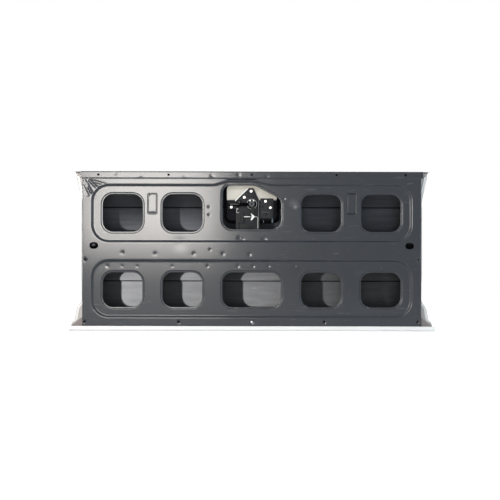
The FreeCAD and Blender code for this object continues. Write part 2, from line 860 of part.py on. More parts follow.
def tension_spring():
    """Sleeve in the place of the coils."""
    points = []
    for i in range(spring_sides):
        angle = 2 * math.pi * i / spring_sides
        points.append((spring_radius * math.cos(angle), spring_radius * math.sin(angle)))
    inner = (spring_radius - wire) / spring_radius
    outside = [Vector(spring_x + x, spring_y + y, spring_low) for x, y in points]
    inside = [Vector(spring_x + x * inner, spring_y + y * inner, spring_low) for x, y in points]
    height = Vector(0, 0, spring_high - spring_low)
    return section_face(outside).extrude(height).cut(section_face(inside).extrude(height))


def bent_wire():
    """Wire bent in a flat zigzag, lying on the base plate."""
    points = [Vector(x, hub_z + z, 0) for x, z in wire_points]
    path = [(point, mitre_at(points, i, closed=False)) for i, point in enumerate(points)]
    section = []
    for i in range(wire_sides):
        angle = 2 * math.pi * (i + 0.5) / wire_sides
        section.append((wire * math.cos(angle), base_plate_y - wire + wire * math.sin(angle)))
    return ring(path, section, closed=False)


def build():
    parts = {
        "inner_panel": inner_panel(),
        "outer_skin": outer_skin(),
        "middle_stiffener": middle_stiffener(),
        "handle_pocket": handle_pocket(),
        "handle_housing": handle_housing(),
        "handle_pivot": handle_pivot(),
        "pull_handle": pull_handle(),
        "base_plate": base_plate(),
        "side_bracket": side_bracket(),
        "plate_bolts": plate_bolts(),
        "bracket_screws": bracket_screws(),
        "hub_pivot": hub_pivot(),
        "release_crank": release_crank(),
        "tension_spring": tension_spring(),
        "bent_wire": bent_wire(),
    }
    for name, make in {
        "end_closure": closure_right,
        "latch_plate": latch_plate_right,
        "hinge_plate": hinge_plate_right,
        "corner_gusset": corner_gusset_right,
    }.items():
        shape = make()
        parts[name + "_right"] = shape
        parts[name + "_left"] = mirrored(shape)
    return parts


def main():
    os.makedirs("parts", exist_ok=True)
    for name, shape in build().items():
        shape.exportStep(os.path.join("parts", name + ".step"))
        print(name, len(shape.Solids), shape.isValid(), round(shape.Volume / 1000, 1), "cm3")


main()
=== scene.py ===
"""Looks of a pickup truck tailgate, seen square from the load bed."""

import contextlib
import math

import bmesh
import bpy
import numpy as np
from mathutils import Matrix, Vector, geometry


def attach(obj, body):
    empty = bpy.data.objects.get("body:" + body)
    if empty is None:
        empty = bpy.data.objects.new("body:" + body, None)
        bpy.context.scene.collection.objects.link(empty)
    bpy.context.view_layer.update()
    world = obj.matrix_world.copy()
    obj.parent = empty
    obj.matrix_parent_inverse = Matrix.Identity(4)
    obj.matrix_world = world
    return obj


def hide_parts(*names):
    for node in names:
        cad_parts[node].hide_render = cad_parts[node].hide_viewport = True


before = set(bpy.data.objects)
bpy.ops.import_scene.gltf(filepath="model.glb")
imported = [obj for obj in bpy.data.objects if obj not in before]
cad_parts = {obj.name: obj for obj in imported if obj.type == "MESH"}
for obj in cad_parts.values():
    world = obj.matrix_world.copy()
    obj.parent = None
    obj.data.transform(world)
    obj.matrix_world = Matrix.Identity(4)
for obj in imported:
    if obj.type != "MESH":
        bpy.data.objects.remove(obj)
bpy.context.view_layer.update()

MM = 0.001

# Sizes of the gate in millimetres, as in the part's source
PANEL_HALF = 678.0
GATE_TOP = 640.0
FACE_Y = -32.0
SKIN_Y = 29.0
FLOOR_Y = FACE_Y + 8.0
STRIP_Y = FACE_Y + 4.0
PANEL_BOTTOM = 20.0
SHEET = 1.0
RECESS_HALF = 642.0
LOWER_RECESS = (54.0, 285.0)
UPPER_RECESS = (356.0, 588.0)
UPPER_OPENING = (399.0, 547.0)
LOWER_OPENING = (96.0, 234.0)
COLUMNS = (-518.0, -278.0, 278.0, 518.0)
OPENING_HALF = 79.0
MIDDLE_HALF = 117.0
HANDLE_OPENING = (409.0, 585.0)
STRIP_HOLES = (-615.0, -334.0, 0.0, 339.0, 616.3)
FOOT_HOLES = (-668.0, -292.2, 0.0, 290.2, 664.0)
FOOT_HOLE_Z = 37.0
BAND_EDGES = (197, 204, 493, 500)
BAND_Y = SKIN_Y - 6.0
HUB_Z = 510.0


# Outlines

def turned(vector, angle):
    """A flat vector turned by an angle."""
    c, s = math.cos(angle), math.sin(angle)
    return Vector((vector.x * c - vector.y * s, vector.x * s + vector.y * c))


def box_corners(half, low, high, radius, middle=0.0):
    """Corners with a radius of an upright rectangle."""
    return [(middle - half, low, radius), (middle + half, low, radius),
            (middle + half, high, radius), (middle - half, high, radius)]


def outline(corners, offset=0.0, arc=10, run=9.0):
    """Points round an anticlockwise outline moved outwards, as many at every offset."""
    count = len(corners)
    bends = []
    for i, (x, z, radius) in enumerate(corners):
        before = (Vector((x, z)) - Vector(corners[i - 1][:2])).normalized()
        after = (Vector(corners[(i + 1) % count][:2]) - Vector((x, z))).normalized()
        turn = math.atan2(before.x * after.y - before.y * after.x, before.dot(after))
        cut = radius * math.tan(abs(turn) / 2)
        start = Vector((x, z)) - before * cut
        side = 1 if turn > 0 else -1
        centre = start + Vector((-before.y, before.x)) * radius * side
        bends.append((start, Vector((x, z)) + after * cut, centre, radius, turn, side, after))
    points = []
    for i, (start, end, centre, radius, turn, side, after) in enumerate(bends):
        steps = max(2, round(arc * abs(turn) / (math.pi / 2)))
        for k in range(steps + 1):
            spoke = turned(start - centre, turn * k / steps)
            points.append(centre + spoke * ((radius + side * offset) / radius))
        following = bends[(i + 1) % count][0]
        length = (following - end).length
        normal = Vector((after.y, -after.x))
        cuts = max(1, round(length / run))
        for k in range(1, cuts):
            points.append(end.lerp(following, k / cuts) + normal * offset)
    return points


def filleted(path, radii, steps=5):
    """Points of an open path whose inner corners are rounded."""
    points = [Vector(path[0])]
    for i in range(1, len(path) - 1):
        here = Vector(path[i])
        before = (here - Vector(path[i - 1])).normalized()
        after = (Vector(path[i + 1]) - here).normalized()
        turn = math.atan2(before.x * after.y - before.y * after.x, before.dot(after))
        radius = radii[i - 1] if isinstance(radii, (list, tuple)) else radii
        if radius <= 0 or abs(turn) < 1e-4:
            points.append(here)
            continue
        cut = radius * math.tan(abs(turn) / 2)
        start = here - before * cut
        side = 1 if turn > 0 else -1
        centre = start + Vector((-before.y, before.x)) * radius * side
        points += [centre + turned(start - centre, turn * k / steps) for k in range(steps + 1)]
    points.append(Vector(path[-1]))
    return points


def pairs(points):
    """Flat points as plain pairs."""
    return [(p.x, p.y) for p in points]


def inside(points, polygon):
    """Which of the (n, 2) points lie inside a closed polygon."""
    result = np.zeros(len(points), bool)
    x, z = points[:, 0], points[:, 1]
    px, pz = polygon[:, 0], polygon[:, 1]
    qx, qz = np.roll(px, 1), np.roll(pz, 1)
    for ax, az, bx, bz in zip(px, pz, qx, qz):
        crosses = (az > z) != (bz > z)
        if az != bz:
            result ^= crosses & (x < (bx - ax) * (z - az) / (bz - az) + ax)
    return result


def triangulated(loops, more=()):
    """Flat triangles inside the first loop and outside the others."""
    flat = [Vector(p) for loop in loops for p in loop] + [Vector(p) for p in more]
    edges = []
    first = 0
    for loop in loops:
        edges += [(first + i, first + (i + 1) % len(loop)) for i in range(len(loop))]
        first += len(loop)
    verts, _, tris, *_ = geometry.delaunay_2d_cdt(flat, edges, [], 0, 1e-5)
    verts = np.array([(v.x, v.y) for v in verts])
    tris = np.array([t for t in tris if len(t) == 3])
    middles = verts[tris].mean(axis=1)
    keep = inside(middles, np.array(loops[0]))
    for loop in loops[1:]:
        keep &= ~inside(middles, np.array(loop))
    return verts, tris[keep]


class Sheet:
    """Gathers the outer faces of a pressed sheet in millimetres, then makes the piece."""

    def __init__(self):
        self.points = []
        self.faces = []

    def add(self, points):
        """Takes points in and returns their numbers."""
        first = len(self.points)
        self.points += [tuple(p) for p in points]
        return list(range(first, len(self.points)))

    def strip(self, rows, closed):
        """Quads between rows of as many points."""
        ids = [self.add(row) for row in rows]
        last = len(ids[0]) if closed else len(ids[0]) - 1
        for low, high in zip(ids, ids[1:]):
            for i in range(last):
                j = (i + 1) % len(low)
                self.faces.append((low[i], low[j], high[j], high[i]))

    def ring(self, corners, profile, arc=10, run=9.0):
        """A profile of (outward, depth) points carried round an outline."""
        rows = [[(p.x, y, p.y) for p in outline(corners, n, arc, run)] for n, y in profile]
        self.strip(rows, True)
        return [(p[0], p[2]) for p in rows[0]], [(p[0], p[2]) for p in rows[-1]]

    def fill(self, boundary, holes, place, spacing, finer=()):
        """Triangles inside a boundary and outside the holes, placed in space by a function.

        finer lists (x, z, size) of marks that need closer points.
        """
        outer = np.array(boundary)
        grid_x = np.arange(outer[:, 0].min(), outer[:, 0].max(), spacing)
        grid_z = np.arange(outer[:, 1].min(), outer[:, 1].max(), spacing)
        grid = np.array([(x, z) for x in grid_x for z in grid_z]) + spacing / 3
        for x, z, size in finer:
            away = np.hypot(grid[:, 0] - x, grid[:, 1] - z)
            close = [(x, z)]
            for k in range(1, 7):
                close += [(x + 0.6 * k * size * math.cos(a), z + 0.6 * k * size * math.sin(a))
                          for a in np.arange(0, 2 * math.pi, 2 * math.pi / (3 + 3 * k))]
            grid = np.concatenate([grid[away > 3.9 * size], close])
        keep = inside(grid, outer)
        for hole in holes:
            keep &= ~inside(grid, np.array(hole))
        grid = grid[keep]
        loops = [boundary] + holes
        edge_points = np.array([p for loop in loops for p in loop])
        away = np.array([np.min(np.sum((edge_points - g) ** 2, axis=1)) for g in grid])
        self.cover(loops, grid[away >= (spacing * 0.45) ** 2], place)

    def cover(self, loops, more, place):
        """Triangles between loops and more points, placed in space by a function."""
        verts, tris = triangulated(loops, more)
        ids = self.add([place(x, z) for x, z in verts])
        self.faces += [tuple(ids[i] for i in t) for t in tris]

    def make(self, name, facing, bump=None):
        """One mesh in metres, most of whose faces point the way that facing does."""
        points = self.points
        if bump:
            points = [bump(*p) for p in points]
        mesh = bpy.data.meshes.new(name)
        mesh.from_pydata([Vector(p) * MM for p in points], [], self.faces)
        with edited(mesh) as work:
            bmesh.ops.remove_doubles(work, verts=work.verts, dist=0.02 * MM)
            bmesh.ops.dissolve_degenerate(work, edges=work.edges, dist=0.01 * MM)
            bmesh.ops.recalc_face_normals(work, faces=work.faces)
            total = sum((f.normal * f.calc_area() for f in work.faces), Vector())
            if total.dot(facing) < 0:
                bmesh.ops.reverse_faces(work, faces=work.faces)
        return linked(name, mesh, None)


@contextlib.contextmanager
def edited(mesh):
    """The editing data of a mesh, written back to it at the end."""
    work = bmesh.new()
    work.from_mesh(mesh)
    yield work
    work.to_mesh(mesh)
    work.free()


def evaluated_mesh(thing):
    """A plain mesh of an object with its modifiers or its curve applied."""
    bpy.context.view_layer.update()
    seen = thing.evaluated_get(bpy.context.evaluated_depsgraph_get())
    return bpy.data.meshes.new_from_object(seen)


def linked(name, mesh, material):
    """A piece from a finished mesh."""
    piece = bpy.data.objects.new(name, mesh)
    bpy.context.scene.collection.objects.link(piece)
    if material:
        mesh.materials.clear()
        mesh.materials.append(material)
    return piece


def baked(piece):
    """Turns the piece's modifiers into its mesh."""
    mesh = evaluated_mesh(piece)
    piece.modifiers.clear()
    piece.data = mesh
    return piece


def written(work, name):
    """A mesh from finished editing data, which is freed."""
    mesh = bpy.data.meshes.new(name)
    work.to_mesh(mesh)
    work.free()
    return mesh


def smoothed(piece, sharp=40.0):
    """Smooth shading with edges sharper than an angle kept."""
    limit = math.radians(sharp)
    with edited(piece.data) as work:
        for face in work.faces:
            face.smooth = True
        for edge in work.edges:
            edge.smooth = edge.calc_face_angle(0.0) < limit
    return piece


def thickened(piece, inner_slot=0):
    """Gives a pressed sheet its thickness behind its outer face."""
    solid = piece.modifiers.new("thickness", "SOLIDIFY")
    solid.thickness = SHEET * MM
    solid.offset = -1
    solid.use_even_offset = False
    solid.material_offset = inner_slot
    return smoothed(baked(piece))


# Materials

def added(tree, kind, *ordered, **named):
    """A node with settings (small first letter) and inputs (a value, a socket or a node's first output)."""
    node = tree.nodes.new(kind)
    inputs = dict(enumerate(ordered))
    for name, value in named.items():
        if name[0].islower():
            setattr(node, name, value)
        else:
            inputs[name.replace("_", " ")] = value
    for name, value in inputs.items():
        if isinstance(value, bpy.types.Node):
            value = next(socket for socket in value.outputs if socket.enabled)
        if isinstance(value, bpy.types.NodeSocket):
            tree.links.new(value, node.inputs[name])
        else:
            node.inputs[name].default_value = value
    return node


def group_sockets(tree, way, sockets):
    """Named sockets of a node group, each with its kind and its usual value."""
    for name, kind, value in sockets:
        socket = tree.interface.new_socket(name=name, in_out=way, socket_type="NodeSocket" + kind)
        if value is not None:
            socket.default_value = value


def handling_marks():
    """Cloudy marks, fine scratches and a slight waviness for painted sheet metal."""
    group = bpy.data.node_groups.new("handling_marks", "ShaderNodeTree")
    group_sockets(group, "INPUT", [("Vector", "Vector", None), ("Scale", "Float", 1.0)])
    group_sockets(group, "OUTPUT", [(name, "Float", None) for name in ("Clouds", "Scratches", "Waves")])
    come = group.nodes.new("NodeGroupInput")
    scaled = added(group, "ShaderNodeVectorMath", come.outputs["Vector"], operation="SCALE",
                   Scale=come.outputs["Scale"])
    clouds = added(group, "ShaderNodeTexNoise", Vector=scaled, Scale=7.0, Detail=6.0, Roughness=0.62)
    stretch = added(group, "ShaderNodeMapping", Vector=scaled, Rotation=(0.0, 0.5, 0.0),
                    Scale=(14.0, 60.0, 190.0))
    lines = added(group, "ShaderNodeTexNoise", Vector=stretch, Scale=1.0, Detail=3.0)
    thin = added(group, "ShaderNodeMapRange", Value=lines, From_Min=0.66, From_Max=0.74)
    waves = added(group, "ShaderNodeTexNoise", Vector=scaled, Scale=5.0, Detail=1.5)
    added(group, "NodeGroupOutput", Clouds=clouds, Scratches=thin, Waves=waves)
    return group


MARKS = handling_marks()


def finish(name, color, roughness, metallic=0.0, coat=0.0, coat_roughness=0.2, mottle=0.25, wave=0.0006,
           grain=0.0, shine=0.5):
    """A finish with mottled colour and roughness, scratches and a fine relief."""
    material = bpy.data.materials.new(name)
    material.use_nodes = True
    tree = material.node_tree
    shader = tree.nodes["Principled BSDF"]
    for socket, value in (("Metallic", metallic), ("Coat Weight", coat), ("Specular IOR Level", shine),
                          ("Coat Roughness", coat_roughness)):
        shader.inputs[socket].default_value = value
    where = tree.nodes.new("ShaderNodeTexCoord").outputs["Object"]
    marks = added(tree, "ShaderNodeGroup", node_tree=MARKS, Vector=where)
    shades = added(tree, "ShaderNodeMix", data_type="RGBA", Factor=marks.outputs["Clouds"],
                   A=[c * (1 - mottle) for c in color] + [1],
                   B=[min(1.0, c * (1 + mottle)) for c in color] + [1])
    faint = added(tree, "ShaderNodeMath", marks.outputs["Scratches"], 0.35, operation="MULTIPLY")
    scratched = added(tree, "ShaderNodeMix", data_type="RGBA", Factor=faint,
                      A=shades, B=[min(1.0, c * 0.8 + 0.12) for c in color] + [1])
    tree.links.new(scratched.outputs["Result"], shader.inputs["Base Color"])
    spread = 0.06
    rough = added(tree, "ShaderNodeMapRange", Value=marks.outputs["Clouds"], From_Min=0.3, From_Max=0.7,
                  To_Min=max(0.03, roughness - spread), To_Max=roughness + spread)
    tree.links.new(rough.outputs["Result"], shader.inputs["Roughness"])
    relief = added(tree, "ShaderNodeBump", Height=marks.outputs["Waves"], Distance=wave, Strength=1.0)
    if grain:
        speckle = added(tree, "ShaderNodeTexNoise", Vector=where, Scale=900.0, Detail=2.0)
        relief = added(tree, "ShaderNodeBump", Height=speckle, Distance=grain,
                       Normal=relief)
    tree.links.new(relief.outputs["Normal"], shader.inputs["Normal"])
    return material


def color_of(material):
    """A finish's tree, its colour socket, what feeds that, and the place on the object."""
    tree = material.node_tree
    color = tree.nodes["Principled BSDF"].inputs["Base Color"]
    where = tree.nodes.new("ShaderNodeTexCoord").outputs["Object"]
    return tree, color, color.links[0].from_socket, where


def overlaid(tree, color, share, shade):
    """Lays a shade over a finish's colour by a share."""
    mix = added(tree, "ShaderNodeMix", data_type="RGBA", Factor=share, A=color.links[0].from_socket,
                B=(*shade, 1))
    tree.links.new(mix.outputs["Result"], color)


def painted_light_tones(name, low, high, seam, depth=None, roughness=0.5, axis="Z", shine=0.5):
    """A finish whose colour changes at a seam, and only in front of a depth where one is given; its two
    tones paint light and shade.
    """
    material = finish(name, low, roughness, shine=shine)
    tree, color, _, where = color_of(material)
    split = added(tree, "ShaderNodeSeparateXYZ", Vector=where)
    blur = 0.002
    share = added(tree, "ShaderNodeMapRange", Value=split.outputs[axis], From_Min=seam - blur,
                  From_Max=seam + blur)
    if depth is not None:
        near = added(tree, "ShaderNodeMath", split.outputs["Y"], depth, operation="LESS_THAN")
        share = added(tree, "ShaderNodeMath", share, near, operation="MULTIPLY")
    overlaid(tree, color, share, high)
    return material


def dark_bands(material, bands):
    """Dark lines along the skin's creases, and a dark band low down that paints the shade behind the foot
    holes, as (height, half width).
    """
    tree, color, _, where = color_of(material)
    split = added(tree, "ShaderNodeSeparateXYZ", Vector=where)
    for height, reach in bands:
        near = added(tree, "ShaderNodeMath", split.outputs["Z"], height, reach, operation="COMPARE")
        overlaid(tree, color, near, (0.006, 0.006, 0.007))


def painted_reflection_streaks(material):
    """Painted reflection: slanting streaks that lighten and darken a finish."""
    tree, color, before, where = color_of(material)
    slanted = added(tree, "ShaderNodeMapping", Vector=where, Rotation=(0.0, -0.55, 0.0),
                    Scale=(7.0, 7.0, 70.0))
    streaks = added(tree, "ShaderNodeTexNoise", Vector=slanted, Scale=1.0, Detail=2.0)
    strength = added(tree, "ShaderNodeMapRange", Value=streaks, From_Min=0.38, From_Max=0.62,
                     To_Min=0.93, To_Max=1.08)
    streaked = added(tree, "ShaderNodeVectorMath", before, operation="SCALE", Scale=strength)
    tree.links.new(streaked.outputs["Vector"], color)


def painted_glint_patch(material, place, reach):
    """A painted glint: a pale, patchy spot at a place."""
    tree, color, _, where = color_of(material)
    away = added(tree, "ShaderNodeVectorMath", where, place, operation="DISTANCE")
    near = added(tree, "ShaderNodeMapRange", Value=away, From_Min=reach, From_Max=reach * 0.3)
    patchy = added(tree, "ShaderNodeTexNoise", Vector=where, Scale=90.0)
    share = added(tree, "ShaderNodeMath", near, patchy, operation="MULTIPLY")
    overlaid(tree, color, share, (0.07, 0.07, 0.075))


PALE_PRIMER = (0.48, 0.455, 0.435)
PRIMER = finish("black_primer", (0.008, 0.011, 0.016), 0.35, coat=0.8, coat_roughness=0.17, wave=0.0009,
                shine=0.15)
OUTSIDE = finish("outer_paint", (0.72, 0.72, 0.70), 0.38, coat=0.3, mottle=0.02, wave=0.0001)
SEALED = finish("closure_primer", PALE_PRIMER, 0.5, mottle=0.1)
# Darker grey on the folded hem, a painted shade for its shaded edge line.
HEM_SHADE = finish("hem_painted_shade", (0.2, 0.2, 0.19), 0.45, mottle=0.2)
# Bluish grey, a painted highlight on a pocket rib.
BLUISH_HIGHLIGHT = finish("bluish_painted_highlight", (0.05, 0.08, 0.1), 0.45)
# Lighter grey, a painted highlight on the plate's fold and on a pocket rib.
HIGHLIGHT_GREY = finish("painted_highlight_grey", (0.1, 0.1, 0.105), 0.45, mottle=0.5)
# Pale for the clip and the wire's end; on the crank's studs and the plate's lit edge the pale is a painted
# highlight.
PALE_AND_GLINT = finish("pale_clip_and_painted_glints", (0.75, 0.75, 0.72), 0.4, mottle=0.05)
HUB = finish("dark_plating", (0.05, 0.052, 0.055), 0.45, metallic=0.5, mottle=0.2, shine=0.2)
GUSSET = finish("gusset_primer", (0.19, 0.165, 0.16), 0.5, mottle=0.15)
BRACKET = finish("satin_bracket", (0.014, 0.0145, 0.0155), 0.5, mottle=0.6, wave=0.0003, shine=0.12)
# Glossless near-black, a painted shade for the hub's centre hole and the dark ring round the hub; the
# crank's arm takes it too.
SHADE_BLACK = finish("painted_shade_black", (0.002, 0.002, 0.0025), 0.8, shine=0.0)
WIRE = finish("bare_wire", (0.34, 0.34, 0.34), 0.4, metallic=0.3)
ZINC = finish("zinc_plating", (0.62, 0.61, 0.58), 0.34, metallic=1.0, mottle=0.12, grain=0.00005)
PLASTIC = finish("grained_plastic", (0.028, 0.028, 0.03), 0.5, grain=0.00012)
HANDLE = finish("handle_plastic", (0.03, 0.03, 0.032), 0.42, grain=0.00008)
# Pocket: near-black as painted shade, pale only on the front of its floor above the hub as painted light.
POCKET_LIGHT_AND_SHADE = painted_light_tones("pocket_painted_light_and_shade", (0.002, 0.002, 0.004), (0.5, 0.475, 0.42), 0.527, depth=0.002,
                        roughness=0.7, shine=0.1)
# End closures: pale primer further back, near-black towards the bed as painted shade in the gap beside the
# panel.
CLOSURE_SHADE = painted_light_tones("closure_painted_shade", (0.001, 0.001, 0.001), PALE_PRIMER, -0.0195, axis="Y",
                   roughness=0.8, shine=0.1)
# Inside of the skin: the slightly lighter, bluer tone above 0.32 m is painted light for the upper openings.
INSIDE = painted_light_tones("primer_inside", (0.07, 0.07, 0.071), (0.08, 0.081, 0.088), 0.32,
                   roughness=0.62, shine=0.0)
# Dark lines along the two creases, and a low dark band that is painted shade behind the foot holes.
SKIN_LINES = ((0.1985, 0.0022), (0.4975, 0.0022), (0.044, 0.042))
# Place of a painted glint on the panel's face.
GLINT_PATCH_PLACE = (0.166, -0.024, 0.508)
# Painted reflection streaks on the skin's inside.
painted_reflection_streaks(INSIDE)
# Dark crease lines, and a painted shade band low on the inside.
dark_bands(INSIDE, SKIN_LINES)
painted_glint_patch(PRIMER, GLINT_PATCH_PLACE, 0.026)


def dress(material, *names):
    """Gives CAD nodes a finish."""
    for name in names:
        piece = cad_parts[name]
        piece.data.materials.clear()
        piece.data.materials.append(material)


# Inner panel

PHOTO_MIDDLE = 251.75
PHOTO_FLOOR = 330.5
PIXEL = 4.0


def photo_point(x, y):
    """A point of the panel's plane from its place in the picture."""
    return ((x - PHOTO_MIDDLE) * PIXEL, (PHOTO_FLOOR - y) * PIXEL)


# Place in the picture, depth and size of each dent, then both ends, depth and width of each crease
DENT_DEEPENED = 1.6
DENTS = [photo_point(x, y) + (DENT_DEEPENED * depth, size) for x, y, depth, size in (
    (122.5, 252, 0.9, 4), (155, 253, 0.8, 4), (193.7, 253, 0.8, 4), (209.9, 249, 0.7, 3),
    (223, 253, 0.8, 4), (249.5, 253.5, 0.8, 4), (270, 260, 0.9, 4.5), (107, 265.4, 0.8, 4),
    (121.9, 265.4, 0.7, 3), (137, 265.4, 0.7, 3), (172, 265.4, 0.7, 3), (207.3, 265.4, 0.9, 3.5),
    (237.9, 265.4, 0.8, 3.5), (253.2, 265.4, 0.8, 3.5), (268.7, 265.4, 0.7, 3), (295.5, 265.4, 0.7, 3),
    (380.9, 266.7, 0.8, 3.5), (239, 237, 1.5, 4), (242.5, 238, 1.0, 3), (264, 238, 1.5, 4),
    (208.6, 206, 0.7, 3), (208.6, 214, 0.7, 3), (293, 206, 0.9, 7), (284, 198, 0.9, 3),
    (114.8, 172.7, 0.5, 4), (140, 175, 0.6, 4), (185, 176, 0.6, 4), (211.8, 175.5, 0.6, 4),
    (238.6, 174.2, 0.5, 4), (266.8, 176, 0.6, 4), (302.5, 177.4, 0.6, 4), (330, 250, 0.5, 20),
    (240, 322, 0.4, 14), (120, 321, 0.4, 14), (180, 243, 0.4, 16), (300, 268, 0.4, 12),
)]
CREASES = [photo_point(a, b) + photo_point(c, d) + (depth, width) for a, b, c, d, depth, width in (
    (84.5, 180.0, 91.0, 191.8, 1.6, 3.2), (89.3, 180.0, 97.5, 187.9, 1.8, 3.4),
    (83.5, 186.0, 87.6, 194.5, 1.4, 3), (93.0, 180.5, 104.0, 183.5, 1.2, 3.5),
    (86.5, 183.0, 93.0, 196.0, 1.0, 2.6), (398.0, 186.0, 412.0, 181.5, 0.9, 5),
    (404.0, 191.0, 416.0, 184.0, 0.8, 5),
)]


def dented(x, y, z):
    """The point moved by the dents and creases in the panel's flat areas, less where flanges back it."""
    if y > FLOOR_Y + 2.0:
        return (x, y, z)
    deepest = 0.7 if abs(x) > 655 else 3.0
    push = 0.0
    for dx, dz, depth, size in DENTS:
        r2 = (x - dx) ** 2 + (z - dz) ** 2
        if r2 < 16 * size * size:
            push += depth * math.exp(-r2 / (2 * size * size))
    for ax, az, bx, bz, depth, width in CREASES:
        run = Vector((bx - ax, bz - az))
        t = max(0.0, min(1.0, (Vector((x - ax, z - az)).dot(run)) / run.length_squared))
        r2 = (x - ax - run.x * t) ** 2 + (z - az - run.y * t) ** 2
        if r2 < 16 * width * width:
            push += depth * math.exp(-r2 / (2 * width * width))
    return (x, y + min(push, deepest), z)


def upper_recess_corners():
    """The upper recess, raised a little over the handle opening."""
    low, high = UPPER_RECESS
    return [(-RECESS_HALF, low, 70), (RECESS_HALF, low, 70), (RECESS_HALF, high, 70), (80, high, 60),
            (12, high + 15, 60), (-100, high + 15, 60), (-150, high, 60), (-RECESS_HALF, high, 70)]


def handle_opening_corners():
    """The handle opening, whose top slopes down to the right."""
    low, high = HANDLE_OPENING
    return [(-MIDDLE_HALF, low, 40), (MIDDLE_HALF, low, 40), (MIDDLE_HALF, high - 55, 40), (10, high, 40),
            (-MIDDLE_HALF, high, 34)]


def hole(x, z, radius, stretch=0.0, steps=20):
    """A round or oval hole's edge."""
    points = []
    for k in range(steps):
        a = 2 * math.pi * (k + 0.5) / steps
        shift = stretch if math.cos(a) > 0 else -stretch
        points.append((x + shift + radius * math.cos(a), z + radius * math.sin(a)))
    return points


def inner_panel():
    """The pressed panel with its recesses, openings, pads, holes, top strip and flanges."""
    sheet = Sheet()
    floor, face = FLOOR_Y, FACE_Y
    recess_profile = filleted([(6, face), (0, face), (-7, floor), (-13, floor)], [6, 5])
    rim_profile = filleted([(11.5, floor), (9, floor), (6, floor + 3), (0, floor + 3), (0, floor + 9)],
                           [2, 2, 2.5])
    pad_profile = filleted([(4.6, floor), (3.4, floor), (1.0, floor + 2.8), (-1.0, floor + 2.8),
                            (-3.0, floor + 0.4), (-4.2, floor + 0.4)], 0.8, 3)
    recesses = []
    marks = [(x, z, size) for x, z, depth, size in DENTS if size < 5]
    for ax, az, bx, bz, depth, width in CREASES:
        marks += [(ax + (bx - ax) * t, az + (bz - az) * t, width) for t in (0.0, 0.25, 0.5, 0.75, 1.0)]
    for corners, opening_range, middle in (
            (upper_recess_corners(), UPPER_OPENING, handle_opening_corners()),
            (box_corners(RECESS_HALF, *LOWER_RECESS, 70), LOWER_OPENING,
             box_corners(MIDDLE_HALF, *LOWER_OPENING, 40))):
        outer, inner = sheet.ring(corners, recess_profile, arc=16)
        recesses.append(outer)
        holes = []
        for opening in [box_corners(OPENING_HALF, *opening_range, 40, x) for x in COLUMNS] + [middle]:
            holes.append(sheet.ring(opening, rim_profile, arc=10)[0])
        if opening_range is UPPER_OPENING:
            for x in (-399.0, 399.0):
                edge, flat = sheet.ring(box_corners(17, 470, 550, 4, x), pad_profile, arc=4, run=8)
                holes.append(edge)
                sheet.fill(flat, [], lambda x, z: (x, floor + 0.4, z), 8.0)
        sheet.fill(inner, holes, lambda x, z: (x, floor, z), 7.0, marks)

    # The face, with its holes
    half = PANEL_HALF - 3.0
    columns = list(np.linspace(-half, half, 169))
    rows = list(np.linspace(26.0, 606.0, 73))
    edge = [(x, rows[0]) for x in columns] + [(half, z) for z in rows[1:]]
    edge += [(x, rows[-1]) for x in columns[-2::-1]] + [(-half, z) for z in rows[-2:0:-1]]
    holes, rims = [[hole(x, FOOT_HOLE_Z, foot) for x in FOOT_HOLES]
                   + [hole(s * 666.0, 286.0, small) for s in (-1, 1)]
                   + [hole(s * 632.0, 342.0, oval, 4.5, 28) for s in (-1, 1)]
                   for foot, small, oval in ((5.0, 4.5, 12.5), (6.2, 5.6, 13.5))]
    sheet.fill(edge, recesses + rims, lambda x, z: (x, face, z), 7.0, marks)
    for rim, points in zip(rims, holes):
        sheet.strip([[(x, face, z) for x, z in rim], [(x, face + 0.9, z) for x, z in points]], True)

    # Joggle, top strip and top wall
    def across(path, widths):
        return [[(x / half * w, y, z) for x in columns] for (y, z), w in zip(path, widths)]

    joggle = filleted([(face, rows[-1]), (face, 610), (STRIP_Y, 614), (STRIP_Y, 617)], 2.5, 4)
    widths = [half + 11.0 * max(0.0, min(1.0, (p.y - 607.0) / 9.0)) for p in joggle]
    sheet.strip(across(joggle, widths), False)
    top = PANEL_HALF + 8.0
    strip_edge = [(x / half * top, 617.0) for x in columns]
    strip_edge += [(top, z) for z in (622.0, 627.0, 632.0)]
    strip_edge += [(x / half * top, 635.0) for x in columns[::-1]]
    strip_edge += [(-top, z) for z in (632.0, 627.0, 622.0)]
    holes = [hole(x, 626.0, 5.0) for x in STRIP_HOLES]
    sheet.fill(strip_edge, holes, lambda x, z: (x, STRIP_Y, z), 5.0)
    bend = filleted([(STRIP_Y, 635), (STRIP_Y, GATE_TOP), (5, GATE_TOP)], 4, 5)
    sheet.strip(across(bend, [top] * len(bend)), False)

    # Bottom wall and the side flanges
    foot = filleted([(face, rows[0]), (face, PANEL_BOTTOM), (7, PANEL_BOTTOM)], 4, 5)
    sheet.strip(across(foot, [half] * len(foot)), False)
    for side in (-1, 1):
        wrap = filleted([(half, face), (PANEL_HALF + 0.6, face), (PANEL_HALF + 0.6, face + 12)], 3, 5)
        sheet.strip([[(side * p.x, p.y, z) for z in rows] for p in wrap], False)
    piece = sheet.make("inner_panel_pressing", Vector((0, -1, 0)), dented)
    piece.data.materials.append(PRIMER)
    thickened(piece)
    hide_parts("inner_panel")
    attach(piece, "gate")


# Outer skin

SKIN_EDGE = ((735, -10), (735, 26), (718, 42), (712, 84), (690, 118), (690, 522), (717, 650))
SKIN_EDGE_RADII = (6, 10, 20, 20, 60)


def edge_table():
    """Heights and half widths along the skin's flared end."""
    points = filleted(SKIN_EDGE, SKIN_EDGE_RADII, 6)
    return np.array([p.y for p in points]), np.array([p.x for p in points])


EDGE_Z, EDGE_X = edge_table()


def half_width(z):
    """How far the skin reaches to each side at a height."""
    return float(np.interp(z, EDGE_Z, EDGE_X))


